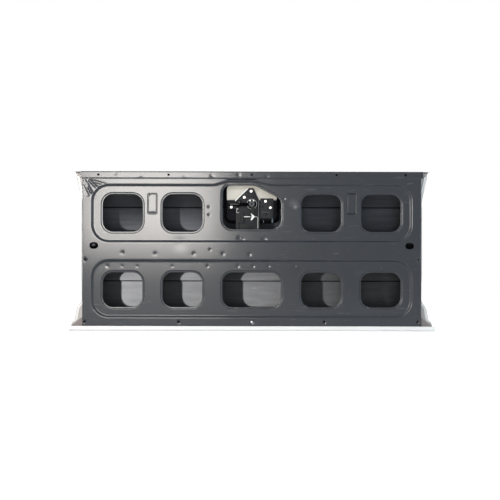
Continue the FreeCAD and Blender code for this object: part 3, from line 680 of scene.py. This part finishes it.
def skin_path():
    """The skin's section from the lip under the panel, over the band, to the top wall."""
    lip = FACE_Y + 3.0
    top = GATE_TOP + SHEET
    band = list(zip((SKIN_Y, BAND_Y, BAND_Y, SKIN_Y), BAND_EDGES))
    corners = [(lip, PANEL_BOTTOM - 0.3), (lip, 0), (SKIN_Y, 0)] + band + [(SKIN_Y, top), (SKIN_Y - 30, top)]
    return filleted(corners, [9, 14, 16, 16, 16, 16, 16], 6)


def resampled(path, spacing):
    """The path with long runs divided."""
    points = [path[0]]
    for a, b in zip(path, path[1:]):
        cuts = max(1, round((b - a).length / spacing))
        points += [a.lerp(b, k / cuts) for k in range(1, cuts + 1)]
    return points


def outer_skin():
    """The skin with the pocket's mouth and its hemmed ends, in a main sheet and a rim."""
    sheet = Sheet()
    path = resampled(skin_path(), 9.0)
    along = np.concatenate([[0], np.cumsum([(b - a).length for a, b in zip(path, path[1:])])])
    ys = np.array([p.x for p in path])
    zs = np.array([p.y for p in path])
    outward = (ys > BAND_Y - 1) & (zs > 20) & (zs < 630)

    def place(u, s):
        z = float(np.interp(s, along, zs))
        width = half_width(z)
        x = u if abs(u) < 400 else math.copysign(400 + (abs(u) - 400) * (width - 400) / 300.0, u)
        return (x, float(np.interp(s, along, ys)), z)

    columns = [-700 + 10.0 * i for i in range(141)]
    edge = [(u, 0.0) for u in columns] + [(700.0, s) for s in along[1:-1]]
    edge += [(u, along[-1]) for u in columns[::-1]] + [(-700.0, s) for s in along[-2:0:-1]]
    mouth = [(p.x, float(np.interp(p.y, zs[outward], along[outward]))) for p in outline(POCKET)]
    inner = [(u, s) for u in columns[1:-1] for s in along[1:-1]]
    fill_round_mouth(sheet, edge, mouth, inner, place)

    # The hem folded over the closure's flange at each end
    fold = filleted([(0, 0), (1.7, 0), (1.7, -3.3), (0, -3.3), (-9.5, -3.3)], [1.6, 1.6, 0], 4)
    hem = [(p.y, p.x) for p in fold]
    normals = []
    for i, p in enumerate(path):
        tangent = (path[min(i + 1, len(path) - 1)] - path[max(i - 1, 0)]).normalized()
        normals.append(Vector((tangent.y, -tangent.x)))
    spans = [i for i in range(len(path)) if zs[i] > 24 and ys[i] > 0 and zs[i] < GATE_TOP - 12]
    for side in (-1, 1):
        rows = []
        for depth, reach in hem:
            row = []
            for i in spans:
                x = half_width(zs[i]) + reach
                row.append((side * x, ys[i] + normals[i].x * depth, zs[i] + normals[i].y * depth))
            rows.append(row)
        sheet.strip(rows, False)
    piece = sheet.make("outer_skin_pressing", Vector((0, 1, 0)))
    for material in (OUTSIDE, INSIDE):
        piece.data.materials.append(material)
    rim = parted(piece, "outer_skin_rim", lambda c: abs(c.x) > 660 or c.y < 10 or c.z > 620 or c.z < 12)
    for material in (OUTSIDE, SEALED, HEM_SHADE, HEM_SHADE):
        rim.data.materials.append(material)
    # The hem's faces and the top edge take the darker grey, the painted shade of the hem's edge.
    for face in rim.data.polygons:
        x, _, z = face.center / MM
        if (abs(x) > half_width(z) - 0.2 and z > 24) or z > GATE_TOP - 3:
            face.material_index = 2
    for part in (piece, rim):
        thickened(part, 1)
        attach(part, "gate")
    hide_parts("outer_skin")
    return piece


def parted(piece, name, picked):
    """Moves the picked faces of a sheet to a piece of their own."""
    rest = piece.data.copy()
    for mesh, keep in ((piece.data, False), (rest, True)):
        with edited(mesh) as work:
            gone = [f for f in work.faces if bool(picked(f.calc_center_median() / MM)) != keep]
            bmesh.ops.delete(work, geom=gone, context="FACES")
    rest.name = name
    rest.materials.clear()
    return linked(name, rest, None)


def fill_round_mouth(sheet, edge, mouth, inner, place):
    """Fills the skin's developed outline, with no points too close to the mouth."""
    mouth_points = np.array(mouth)
    grid = np.array(inner)
    grid = grid[~inside(grid, mouth_points)]
    near = np.zeros(len(grid), bool)
    for i in np.nonzero(np.abs(grid[:, 0]) < 130)[0]:
        near[i] = np.min(np.sum((mouth_points - grid[i]) ** 2, axis=1)) < 9.0
    sheet.cover([edge, mouth], grid[~near], place)


# Release mechanism

def softened(piece, width=0.4, steps=2, angle=35.0):
    """Rounds the hard edges of a piece."""
    bevel = piece.modifiers.new("edges", "BEVEL")
    bevel.width = width * MM
    bevel.segments = steps
    bevel.limit_method = "ANGLE"
    bevel.angle_limit = math.radians(angle)
    return smoothed(baked(piece), 50.0)


def plate(name, corners, holes, front, thick, material, arc=6, edge=0.4):
    """A flat plate with an outline, holes and softened edges, its front at a depth."""
    rim = pairs(outline(corners, 0.0, arc, 40.0))
    verts, tris = triangulated([rim] + holes)
    work = bmesh.new()
    points = [work.verts.new(Vector((x, front, z)) * MM) for x, z in verts]
    for t in tris:
        work.faces.new([points[i] for i in t])
    bmesh.ops.dissolve_limit(work, angle_limit=0.01, verts=work.verts, edges=work.edges)
    bmesh.ops.recalc_face_normals(work, faces=work.faces)
    if sum(f.normal.y * f.calc_area() for f in work.faces) > 0:
        bmesh.ops.reverse_faces(work, faces=work.faces)
    grown = bmesh.ops.extrude_face_region(work, geom=list(work.faces))
    moved = [v for v in grown["geom"] if isinstance(v, bmesh.types.BMVert)]
    bmesh.ops.translate(work, verts=moved, vec=Vector((0, -thick * MM, 0)))
    bmesh.ops.recalc_face_normals(work, faces=work.faces)
    bmesh.ops.translate(work, verts=work.verts, vec=Vector((0, thick * MM, 0)))
    return softened(linked(name, written(work, name), material), edge)


def bar(name, x, y, z, material, edge=0.4):
    """A straight bar between two corners given as ranges, with softened edges."""
    work = bmesh.new()
    bmesh.ops.create_cube(work, size=1.0)
    for v in work.verts:
        v.co = Vector((x[v.co.x > 0], y[v.co.y > 0], z[v.co.z > 0])) * MM
    return softened(linked(name, written(work, name), material), edge)


def turned_piece(name, profile, x, z, material, steps=40):
    """A round piece about an axis along Y, from (radius, y) points."""
    work = bmesh.new()
    rows = []
    for radius, y in profile:
        if radius < 1e-6:
            rows.append([work.verts.new(Vector((x, y, z)) * MM)])
            continue
        rows.append([work.verts.new(Vector((x + radius * math.cos(a), y, z + radius * math.sin(a))) * MM)
                     for a in np.arange(steps) * 2 * math.pi / steps])
    for low, high in zip(rows, rows[1:]):
        for i in range(steps):
            j = (i + 1) % steps
            ring = [low[i % len(low)], low[j % len(low)], high[j % len(high)], high[i % len(high)]]
            work.faces.new(list(dict.fromkeys(ring)))
    bmesh.ops.recalc_face_normals(work, faces=work.faces)
    return smoothed(linked(name, written(work, name), material), 40.0)


def merged(name, pieces):
    """Joins pieces into one."""
    work = bmesh.new()
    materials = []
    for piece in pieces:
        slots = []
        for material in piece.data.materials:
            if material not in materials:
                materials.append(material)
            slots.append(materials.index(material))
        first = len(work.faces)
        work.from_mesh(piece.data)
        work.faces.ensure_lookup_table()
        for face in work.faces[first:]:
            face.material_index = slots[face.material_index]
        bpy.data.objects.remove(piece)
    whole = linked(name, written(work, name), None)
    for material in materials:
        whole.data.materials.append(material)
    return whole


def seated(piece, body, slot, *nodes):
    """Puts a piece on its body, in the place of the CAD nodes that it stands for."""
    if nodes:
        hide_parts(*nodes)
    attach(piece, body)
    return piece


def wire_piece(name, points, radius, material):
    """A bent round wire through points."""
    curve = bpy.data.curves.new(name, "CURVE")
    curve.dimensions = "3D"
    curve.bevel_depth = radius * MM
    curve.bevel_resolution = 3
    curve.use_fill_caps = True
    spline = curve.splines.new("POLY")
    spline.points.add(len(points) - 1)
    for place, point in zip(spline.points, points):
        place.co = (*(Vector(point) * MM), 1)
    rod = linked(name + "_line", curve, None)
    mesh = evaluated_mesh(rod)
    bpy.data.objects.remove(rod)
    mesh.name = name
    return smoothed(linked(name, mesh, material), 60.0)


def nodes_piece(name, places, tree, values, material):
    """The mesh that a Geometry Nodes tree makes at some places, with its named inputs set."""
    spots = bpy.data.meshes.new(name + "_places")
    spots.from_pydata([Vector(p) * MM for p in places], [], [])
    holder = linked(name + "_places", spots, None)
    modifier = holder.modifiers.new("tree", "NODES")
    modifier.node_group = tree
    for item in tree.interface.items_tree:
        if item.item_type == "SOCKET" and item.in_out == "INPUT" and item.name in values:
            modifier[item.identifier] = values[item.name]
    mesh = evaluated_mesh(holder)
    bpy.data.objects.remove(holder)
    mesh.name = name
    return smoothed(linked(name, mesh, material), 35.0)


def node_tree(name, sizes):
    """A Geometry Nodes tree with named sizes, and its input node."""
    tree = bpy.data.node_groups.new(name, "GeometryNodeTree")
    shape = ("Geometry", "Geometry", None)
    numbers = [(size, "Float", value) for size, value in sizes.items()]
    group_sockets(tree, "INPUT", [shape] + numbers + [("Finish", "Material", None)])
    group_sockets(tree, "OUTPUT", [shape])
    return tree, tree.nodes.new("NodeGroupInput")


def placed(tree, come, shape, turn=(0, 0, 0)):
    """Puts a shape on every place, made real and given its finish."""
    spread = added(tree, "GeometryNodeInstanceOnPoints", Points=come.outputs["Geometry"], Instance=shape,
                   Rotation=turn)
    real = added(tree, "GeometryNodeRealizeInstances", Geometry=spread)
    paint = added(tree, "GeometryNodeSetMaterial", Geometry=real,
                  Material=come.outputs["Finish"])
    added(tree, "NodeGroupOutput", Geometry=paint)
    return tree


def bolt_tree():
    """Hexagon heads on round flanges at each place, facing the bed."""
    tree, come = node_tree("hexagon_heads", {"Head Radius": 0.0055, "Head Height": 0.003,
                                             "Flange Radius": 0.007, "Flange Height": 0.0008})
    small = added(tree, "ShaderNodeMath", come.outputs["Head Radius"], 0.86, operation="MULTIPLY")
    head = added(tree, "GeometryNodeMeshCone", Vertices=6, Radius_Bottom=come.outputs["Head Radius"],
                 Radius_Top=small, Depth=come.outputs["Head Height"])
    flange = added(tree, "GeometryNodeMeshCylinder", Vertices=28, Radius=come.outputs["Flange Radius"],
                   Depth=come.outputs["Flange Height"])
    both = added(tree, "GeometryNodeJoinGeometry", Geometry=head)
    tree.links.new(flange.outputs["Mesh"], both.inputs["Geometry"])
    return placed(tree, come, both, (math.radians(90), 0, 0))


def coil_tree():
    """A close-wound coil of round wire standing on its place."""
    tree, come = node_tree("wound_coil", {"Coil Radius": 0.0035, "Wire Radius": 0.0008, "Length": 0.034,
                                          "Turns": 18.0})
    spiral = added(tree, "GeometryNodeCurveSpiral", Resolution=16, Rotations=come.outputs["Turns"],
                   Start_Radius=come.outputs["Coil Radius"], End_Radius=come.outputs["Coil Radius"],
                   Height=come.outputs["Length"])
    loop = added(tree, "GeometryNodeCurvePrimitiveCircle", Resolution=8, Radius=come.outputs["Wire Radius"])
    wound = added(tree, "GeometryNodeCurveToMesh", Curve=spiral,
                  Profile_Curve=loop, Fill_Caps=True)
    return placed(tree, come, wound)


PLATE_Y = -7.0
BRACKET_Y = -13.0
CRANK_Y = -17.9
BASE_BOLTS = ((-3.0, 562.0), (-31.0, 537.0), (-83.0, 498.0))
SIDE_SCREWS = ((55.0, 521.0), (75.0, 495.0))


def bolts():
    """Heads of the base plate's bolts and the side bracket's screws."""
    tree = bolt_tree()
    bolt, screw = (0.0044, 0.003, 0.0052), (0.0042, 0.0024, 0.005)
    kinds = (("plate_bolt_heads", "plate_bolts", BASE_BOLTS, PLATE_Y - 1.5, bolt),
             ("bracket_screw_heads", "bracket_screws", SIDE_SCREWS, BRACKET_Y - 1.2, screw))
    for name, node, spots, y, sizes in kinds:
        values = dict(zip(("Head Radius", "Head Height", "Flange Radius"), sizes), Finish=ZINC)
        heads = nodes_piece(name, [(x, y, z) for x, z in spots], tree, values, ZINC)
        seated(heads, "gate", "plated_steel", node)


def base_plate():
    """The plate behind the hub, with its folded edge, drawn bosses and pressed outline of the arm's slot."""
    corners = [(-95, 490, 3), (-64, 490, 3), (-64, 405, 3), (29, 405, 3), (29, 527, 3), (6, 575, 8),
               (-12, 575, 8), (-67, 521, 6), (-95, 519, 3)]
    slot = [(-59, 498), (-41, 498), (-41, 524), (-59, 524)]
    small = (12, 414, 2.2), (-49, 414, 2.6), (-49, 430, 2.2)
    holes = [slot] + [hole(x, z, radius, steps=16) for x, z, radius in small]
    lit = [(-68.5, 523.5, 0.5), (-67, 521, 0.5), (-12.5, 574.5, 0.5), (-15, 576, 0.5)]
    # The fold's lighter grey and the pale lit edge are painted highlights.
    pieces = [plate("base_plate_sheet", corners, holes, PLATE_Y, 2.0, BRACKET),
              bar("base_plate_fold", (27, 29), (PLATE_Y - 6, -5), (411, 524), HIGHLIGHT_GREY),
              plate("base_plate_lit_edge", lit, [], PLATE_Y + 0.4, 1.4, PALE_AND_GLINT, 2, 0.2)]
    boss = [(6.9, PLATE_Y + 1.2), (6.9, -0.1)]
    pieces += [turned_piece("boss", boss, x, z, BRACKET, 28) for x, z in BASE_BOLTS]
    hook = (-15.5, PLATE_Y)
    pieces += [bar("spring_hook", (-40, -34), hook, (z, z + 3), BRACKET, 0.6) for z in (474.0, 431.0)]
    ear = (PLATE_Y - 4.5, PLATE_Y)
    ears = ((-62, -60), (474, 492)), ((-60, -52), (474, 476)), ((-60, -54), (489, 492))
    pieces += [bar("folded_ear", across, ear, up, WIRE, 0.4) for across, up in ears]
    rib = (PLATE_Y - 1.3, PLATE_Y + 0.5)
    ribs = ((-29.5, -27.5), (430, 472)), ((-50, -30), (452, 454))
    pieces += [bar("pressed_rib", across, rib, up, BRACKET, 0.5) for across, up in ribs]
    # The two pocket ribs are lighter than the floor as painted highlights, one bluish and one grey.
    pieces += [bar("pocket_rib", (80, 86), (-2.2, 0.3), (434, 454), BLUISH_HIGHLIGHT, 0.8),
               bar("pocket_rib", (46, 48.4), (-2.2, 0.3), (434, 447), HIGHLIGHT_GREY, 0.5)]
    seated(merged("base_plate_pressing", pieces), "gate", "bracket_steel", "base_plate")


def side_bracket():
    """The channel beside the hub, with two legs, two holes and a rib across its web."""
    corners = [(34, 452, 2), (87, 452, 4), (87, 533, 5), (34, 533, 4)]
    holes = [hole(60, 470, 3.2, steps=18), hole(45, 500, 2.2, steps=14)]
    leg = (BRACKET_Y + 0.4, -0.1)
    # The rib across the web is in the lighter plating as a painted highlight.
    pieces = [plate("side_bracket_web", corners, holes, BRACKET_Y, 1.6, BRACKET),
              bar("side_bracket_leg", (34, 35.6), leg, (452, 533), BRACKET),
              bar("side_bracket_leg", (85.4, 87), leg, (456, 529), BRACKET),
              bar("side_bracket_rib", (42, 72), (BRACKET_Y - 1.4, BRACKET_Y + 0.2), (476, 479), HUB, 0.6)]
    seated(merged("side_bracket_channel", pieces), "gate", "bracket_steel", "side_bracket")


def about_hub(name, profile, material, steps=40):
    """A round piece about the hub's axis."""
    return turned_piece(name, profile, 0.0, HUB_Z, material, steps)


def hub_and_crank():
    """The pin with its cap and collar, then the crank with its studs, arm and foot."""
    cap = filleted([(0, -17.4), (2.8, -17.4), (3.4, -19.6), (9.0, -20.0), (12, -18.8), (12, -18.0),
                    (4, -18.0), (4, -12), (8, -12), (8, PLATE_Y)], [0.5, 0.6, 2.0, 0.5, 0, 0, 0, 0], 3)
    collar = filleted([(18.6, -7.2), (18.6, -9.4), (20.6, -9.4), (20.6, -7.2)], 0.7, 2)
    # The black centre disc is painted shade standing for the cap's centre hole.
    pieces = [about_hub("hub_cap", pairs(cap) + [(0, PLATE_Y)], HUB),
              about_hub("hub_centre", [(0, -19.9), (3.0, -19.9), (3.4, -19.2)], SHADE_BLACK, 20),
              about_hub("hub_collar", pairs(collar), WIRE, 48)]
    seated(merged("hub_pin_and_cap", pieces), "gate", "plated_steel", "hub_pivot")
    # The crank's disc is near-black, the painted shade of the ring round the hub.
    disc = filleted([(4.3, -12.2), (4.3, CRANK_Y), (12.0, CRANK_Y), (12.6, -15.4), (17.2, -15.4),
                     (18.0, -14.6), (18, -12.6), (17.5, -12.2), (4.3, -12.2)],
                    [0, 0.3, 0.3, 0.3, 0.5, 0, 0.3], 2)
    parts = [about_hub("crank_disc", pairs(disc), SHADE_BLACK, 56)]
    stud_reach = 15.4
    # The two studs are pale as painted glints on the crank's rim.
    for degrees in (117.0, 62.0):
        turn = math.radians(degrees)
        x, z = stud_reach * math.cos(turn), HUB_Z + stud_reach * math.sin(turn)
        parts.append(turned_piece("crank_stud_painted_glint", [(0, -18.0), (2.6, -17.4), (3.2, -15.2)], x, z, PALE_AND_GLINT, 20))
    arm = [(-94, 502, 3), (-2, 502, 3), (-2, 515, 3), (-94, 515, 3)]
    slot = [(-89, 507), (-50, 507), (-50, 511.4), (-89, 511.4)]
    foot = [(-3, 472, 1), (4, 465, 3.5), (11, 472, 1), (11, 506, 1), (-3, 506, 1)]
    parts += [plate("crank_arm", arm, [slot], CRANK_Y, 3.0, SHADE_BLACK),
              bar("crank_arm_face", (-89, -50), (-16.4, -15.4), (507, 511.4), HUB, 0.2),
              bar("crank_tab", (-56, -44), (-15.2, -12.2), (509, 513), BRACKET),
              plate("crank_foot", foot, [hole(4, 472, 3.0)], CRANK_Y, 3.0, BRACKET)]
    seated(merged("crank_stamping", parts), "crank", "bracket_steel", "release_crank")


def spring_and_wires():
    """The tension spring between its two hooks, then the bent wire with its chevron clip."""
    x, y, low = -37.0, -12.5, 437.0
    radius, length = 2.8, 34.0
    values = {"Coil Radius": radius * MM, "Wire Radius": 0.0007, "Length": length * MM, "Turns": 21.0,
              "Finish": HUB}
    parts = [nodes_piece("tension_coil", [(x, y, low)], coil_tree(), values, HUB)]
    for z, way in ((low + length, 1), (low, -1)):
        bend = [(x + radius * math.cos(a), y, z + radius * math.sin(a) * way)
                for a in np.linspace(-0.2, math.pi * 0.9, 12)]
        parts.append(wire_piece("spring_hook_wire", bend, 0.7, HUB))
    seated(merged("tension_spring_wire", parts), "gate", "plated_steel", "tension_spring")
    y = PLATE_Y - 1.5
    run = pairs(filleted([(-31, 459), (20, 459), (24, 455), (24, 412)], 3.0))
    chevron = [(-4.5, 474, 0.8), (1, 473.5, 2), (11.5, 459.5, 2.5), (1, 445.5, 2), (-4.5, 445, 0.8),
               (-3.0, 451, 0.8), (1.5, 459.5, 1.5), (-3.0, 468, 0.8)]
    parts = [wire_piece("latch_wire", [(x, y, z) for x, z in run], 1.5, WIRE),
             wire_piece("latch_wire_end", [(-32, y, 459), (-8, y, 459)], 1.9, PALE_AND_GLINT),
             plate("wire_clip", chevron[::-1], [], y - 3.0, 2.4, PALE_AND_GLINT, 3, 0.5)]
    seated(merged("bent_wire_and_clip", parts), "gate", "plated_steel", "bent_wire")


# Handle, its housing and its pocket

def skin_face(z):
    """Depth of the skin's outer face at a height."""
    return float(np.interp(z, BAND_EDGES, (SKIN_Y, BAND_Y, BAND_Y, SKIN_Y)))


POCKET = box_corners(112, 432, 602, 30)
HOLLOW = box_corners(95, 449, 560, 14)
TAIL_SLOT = [(-59.0, 497.0), (-41.0, 497.0), (-41.0, 525.0), (-59.0, 525.0)]


def handle_pocket():
    """The pocket pressed into the skin, with the tail's slot and the bolts' holes."""
    sheet = Sheet()
    profile = filleted([(0, 26), (0, 20), (-12, 0), (-17, 0)], [4, 5], 6)
    rows = []
    for n, y in profile:
        rows.append([(p.x, y if y < 25.9 else skin_face(p.y) - 0.3, p.y) for p in outline(POCKET, n, 8)])
    sheet.strip(rows, True)
    inner = [(p[0], p[2]) for p in rows[-1]]
    holes = [TAIL_SLOT] + [hole(x, z, 3.1, steps=14) for x, z in BASE_BOLTS]
    sheet.fill(inner, holes, lambda x, z: (x, 0.0, z), 9.0)
    piece = sheet.make("handle_pocket_pressing", Vector((0, -1, 0)))
    # Painted light on the upper floor of the pocket, painted shade everywhere else.
    piece.data.materials.append(POCKET_LIGHT_AND_SHADE)
    thickened(piece)
    seated(piece, "gate", "outer_paint", "handle_pocket")


def handle_housing():
    """The moulded tray over the pocket's rim, with two bosses for the pivot."""
    sheet = Sheet()
    top = SKIN_Y + 3.0
    floor = 7.0
    outer_rim = filleted([(-4, top), (0, top), (0.6, 25)], [2.5], 5)
    rows = []
    for n, y in outer_rim:
        rim = outline(POCKET, n + 9, 12)
        rows.append([(p.x, y if y > 25.1 else skin_face(p.y) + 0.05, p.y) for p in rim])
    sheet.strip(rows, True)
    rim_loop = [(p[0], p[2]) for p in rows[0]]
    wall = filleted([(3.5, top), (0, top), (-1.5, floor), (-7, floor)], [2.2, 3.5], 5)
    _, floor_loop = sheet.ring(HOLLOW, wall, 8)
    hollow_loop = pairs(outline(HOLLOW, 3.5, 8))
    sheet.fill(rim_loop, [hollow_loop], lambda x, z: (x, top, z), 8.0)
    sheet.fill(floor_loop, [TAIL_SLOT], lambda x, z: (x, floor, z), 9.0)
    piece = sheet.make("handle_housing_moulding", Vector((0, 1, 0)))
    piece.data.materials.append(PLASTIC)
    solid = piece.modifiers.new("wall", "SOLIDIFY")
    solid.thickness = 2.4 * MM
    solid.offset = -1
    smoothed(baked(piece))
    parts = [piece]
    for side in (-1, 1):
        x = sorted((side * 58.0, side * 68.0))
        parts.append(bar("housing_boss", x, (6.5, 15), (524, 536), PLASTIC, 0.8))
        parts.append(bar("housing_boss_top", x, (9.5, 20.5), (525, 535), PLASTIC, 2.5))
    seated(merged("handle_housing_tray", parts), "gate", "housing_plastic", "handle_housing")


def pull_handle():
    """The flap with a crowned face, a curled grip, two arms and the tail."""
    sheet = Sheet()
    half, low, high = 88.0, 472.0, 546.0
    thick = 4.6
    dip = 1.2

    def crown(x, z):
        return 31.0 - 1.6 * (abs(x) / half) ** 2.5 - 0.8 * ((2 * z - low - high) / (high - low)) ** 2

    corners = box_corners(half, low, high, 12)
    front = filleted([(-5, 0), (0, 0), (0, -thick), (-4, -thick)], [2.2, 1.4], 4)
    rows = [[(p.x, crown(p.x, p.y) + y, p.y) for p in outline(corners, n, 8, 7.0)] for n, y in front]
    sheet.strip(rows, True)
    face_loop = [(p[0], p[2]) for p in rows[0]]
    back_loop = [(p[0], p[2]) for p in rows[-1]]
    grip, dish = [pairs(outline(box_corners(70, 484, 512, 9), n, 6, 8.0)) for n in (0.0, -4.0)]
    sheet.fill(face_loop, [grip], lambda x, z: (x, crown(x, z), z), 8.0)
    sheet.strip([[(x, crown(x, z), z) for x, z in grip], [(x, crown(x, z) - dip, z) for x, z in dish]], True)
    sheet.fill(dish, [], lambda x, z: (x, crown(x, z) - dip, z), 8.0)
    sheet.fill(back_loop, [], lambda x, z: (x, crown(x, z) - thick, z), 10.0)
    piece = sheet.make("pull_handle_flap", Vector((0, 1, 0)))
    with edited(piece.data) as work:
        bmesh.ops.recalc_face_normals(work, faces=work.faces)
    piece.data.materials.append(HANDLE)
    smoothed(piece, 50.0)
    parts = [piece, bar("handle_curl", (-76, 76), (20.2, 27.0), (472.4, 476.2), HANDLE, 1.4)]
    left, right = (-53, -47), (47, 53)
    for x in (left, right):
        parts += [bar("handle_arm", x, (15, 26.6), (524.2, 535.8), HANDLE, 0.8),
                  bar("handle_eye", x, (9.2, 20.8), (524.2, 535.8), HANDLE, 2.6)]
    parts += [bar("handle_tail_root", left, (9.2, 20.8), (514, 530), HANDLE, 0.6),
              bar("handle_tail", left, (-24.8, 15), (514, 520), HANDLE, 0.8)]
    seated(merged("pull_handle_moulding", parts), "handle", "handle_plastic", "pull_handle")


inner_panel()
skin = outer_skin()
bolts()
base_plate()
side_bracket()
hub_and_crank()
spring_and_wires()
handle_pocket()
handle_housing()
pull_handle()

PLUG_DOME = [(0, -31.9), (3.2, -31.6), (4.6, -30.4), (4.6, -29.4), (0, -29.4)]
seated(turned_piece("foot_hole_plug", PLUG_DOME, 0.0, FOOT_HOLE_Z, PALE_AND_GLINT, 24), "gate", "plated_steel")
dress(INSIDE, "middle_stiffener")
# The near-black towards the bed is painted shade.
dress(CLOSURE_SHADE, "end_closure_left", "end_closure_right")
dress(GUSSET, "corner_gusset_left", "corner_gusset_right")
dress(ZINC, "hinge_plate_left", "hinge_plate_right", "handle_pivot")
dress(HUB, "latch_plate_left", "latch_plate_right")


# Floor, lights and camera

def shown_rays(tree):
    """One where a ray comes from the eye, from a gloss or through glass."""
    path = tree.nodes.new("ShaderNodeLightPath").outputs
    glossy = added(tree, "ShaderNodeMath", path["Is Camera Ray"], path["Is Glossy Ray"], operation="MAXIMUM")
    shown = added(tree, "ShaderNodeMath", glossy, path["Is Transmission Ray"], operation="MAXIMUM")
    return shown


def blended(tree, share, first, second):
    """A mix of two shaders by a share."""
    return added(tree, "ShaderNodeMixShader", share, first, second)


def floor_finish():
    """A pale floor that takes shadows near the gate and fades into white."""
    material = bpy.data.materials.new("pale_floor")
    material.use_nodes = True
    tree = material.node_tree
    shader = tree.nodes["Principled BSDF"]
    shader.inputs["Base Color"].default_value = (0.8, 0.8, 0.8, 1)
    shader.inputs["Roughness"].default_value = 0.9
    plain = shader.outputs["BSDF"]
    glow = added(tree, "ShaderNodeEmission", Color=(1, 1, 1, 1), Strength=0.6)
    lifted = added(tree, "ShaderNodeAddShader", plain, glow)
    white = added(tree, "ShaderNodeEmission", Color=(1, 1, 1, 1))
    shown = shown_rays(tree)
    near = blended(tree, shown, plain, lifted)
    far = blended(tree, shown, plain, white)
    where = tree.nodes.new("ShaderNodeTexCoord")
    away = added(tree, "ShaderNodeVectorMath", where.outputs["Object"], operation="LENGTH")
    fade = added(tree, "ShaderNodeMapRange", Value=away, From_Min=1.2, From_Max=3.5)
    faded = blended(tree, fade, near, far)
    tree.links.new(faded.outputs["Shader"], tree.nodes["Material Output"].inputs["Surface"])
    return material


def stage():
    """The floor just under the gate and the white surroundings."""
    mesh = bpy.data.meshes.new("studio_floor")
    reach = 12.0
    mesh.from_pydata([(-reach, -reach, 0), (reach, -reach, 0), (reach, reach, 0), (-reach, reach, 0)], [],
                     [(0, 1, 2, 3)])
    floor = linked("studio_floor", mesh, floor_finish())
    floor.location.z = -0.0015
    world = bpy.data.worlds.new("studio")
    bpy.context.scene.world = world
    world.use_nodes = True
    tree = world.node_tree
    tree.nodes.clear()
    fill = added(tree, "ShaderNodeBackground", Color=(0.86, 0.93, 1.0, 1), Strength=0.2)
    white = added(tree, "ShaderNodeBackground", Color=(1, 1, 1, 1), Strength=1.0)
    both = blended(tree, shown_rays(tree), fill, white)
    added(tree, "ShaderNodeOutputWorld", Surface=both)


def lamp(name, kind, place, target, power, color=(1, 1, 1), **settings):
    """A lamp that looks at a target."""
    data = bpy.data.lights.new(name, kind)
    data.energy = power
    data.color = color
    for setting, value in settings.items():
        setattr(data, setting, value)
    holder = bpy.data.objects.new(name, data)
    holder.location = place
    holder.rotation_euler = (Vector(target) - Vector(place)).to_track_quat("-Z", "Y").to_euler()
    bpy.context.scene.collection.objects.link(holder)
    return holder


def softbox(name, place, target, size, power, color=(1, 1, 1)):
    """A rectangular lamp."""
    return lamp(name, "AREA", place, target, power, color, shape="RECTANGLE", size=size[0], size_y=size[1])


def lights(skin):
    """Soft boxes in front for all but the skin, one behind for all, and two lamps for the skin alone."""
    warm, cool, cold = (1.0, 0.955, 0.905), (0.95, 0.97, 1.0), (0.85, 0.93, 1.0)
    fronts = [softbox("front_left", (-0.88, -3.7, 0.8), (-0.3, 0, 0.4), (1.2, 0.95), 72.0, warm),
              softbox("high_left", (-1.0, -1.9, 2.2), (-0.3, 0, 0.3), (1.8, 0.35), 28.0, cool),
              softbox("high_right", (1.7, -1.9, 2.2), (0, 0, 0.3), (0.6, 0.4), 20.0, cold),
              softbox("far_left", (-2.9, -1.5, 0.7), (0, 0, 0.3), (0.4, 1.0), 28.0),
              softbox("far_right", (2.9, -1.6, 0.7), (0, 0, 0.3), (0.4, 1.0), 20.0, (0.6, 0.8, 1.0))]
    softbox("soft_back", (1.0, 3.2, 2.6), (0, 0, 0.3), (2.5, 2.0), 60.0)
    raking = lamp("raking_left", "SPOT", (-2.75, -1.55, 0.15), (-0.38, 0.0, 0.11), 2600.0,
                  spot_size=math.radians(16.0), spot_blend=1.0, shadow_soft_size=0.06)
    inside_right = softbox("inside_right", (1.7, -1.9, 2.2), (0.4, 0, 0.35), (1.2, 0.6), 12.0,
                           (0.75, 0.87, 1.0))
    groups = (("front_lit", "EXCLUDE", fronts), ("raking_lit", "INCLUDE", (raking, inside_right)))
    for name, state, lamps in groups:
        lit = bpy.data.collections.new(name)
        lit.objects.link(skin)
        lit.collection_objects[0].light_linking.link_state = state
        for light in lamps:
            light.light_linking.receiver_collection = lit


def camera():
    """The picture's view, two metres wide at the panel's face."""
    data = bpy.data.cameras.new("photo_camera")
    data.sensor_width = 36.0
    distance = 3.2
    width_seen = 2.0
    data.lens = data.sensor_width * distance / width_seen
    eye = bpy.data.objects.new("photo_camera", data)
    eye.location = (-0.007, FACE_Y * MM - distance, 0.325)
    eye.rotation_euler = (math.radians(90.0), math.radians(-0.12), 0.0)
    bpy.context.scene.collection.objects.link(eye)
    bpy.context.scene.camera = eye


stage()
lights(skin)
camera()

bpy.context.scene.view_settings.view_transform = "Standard"
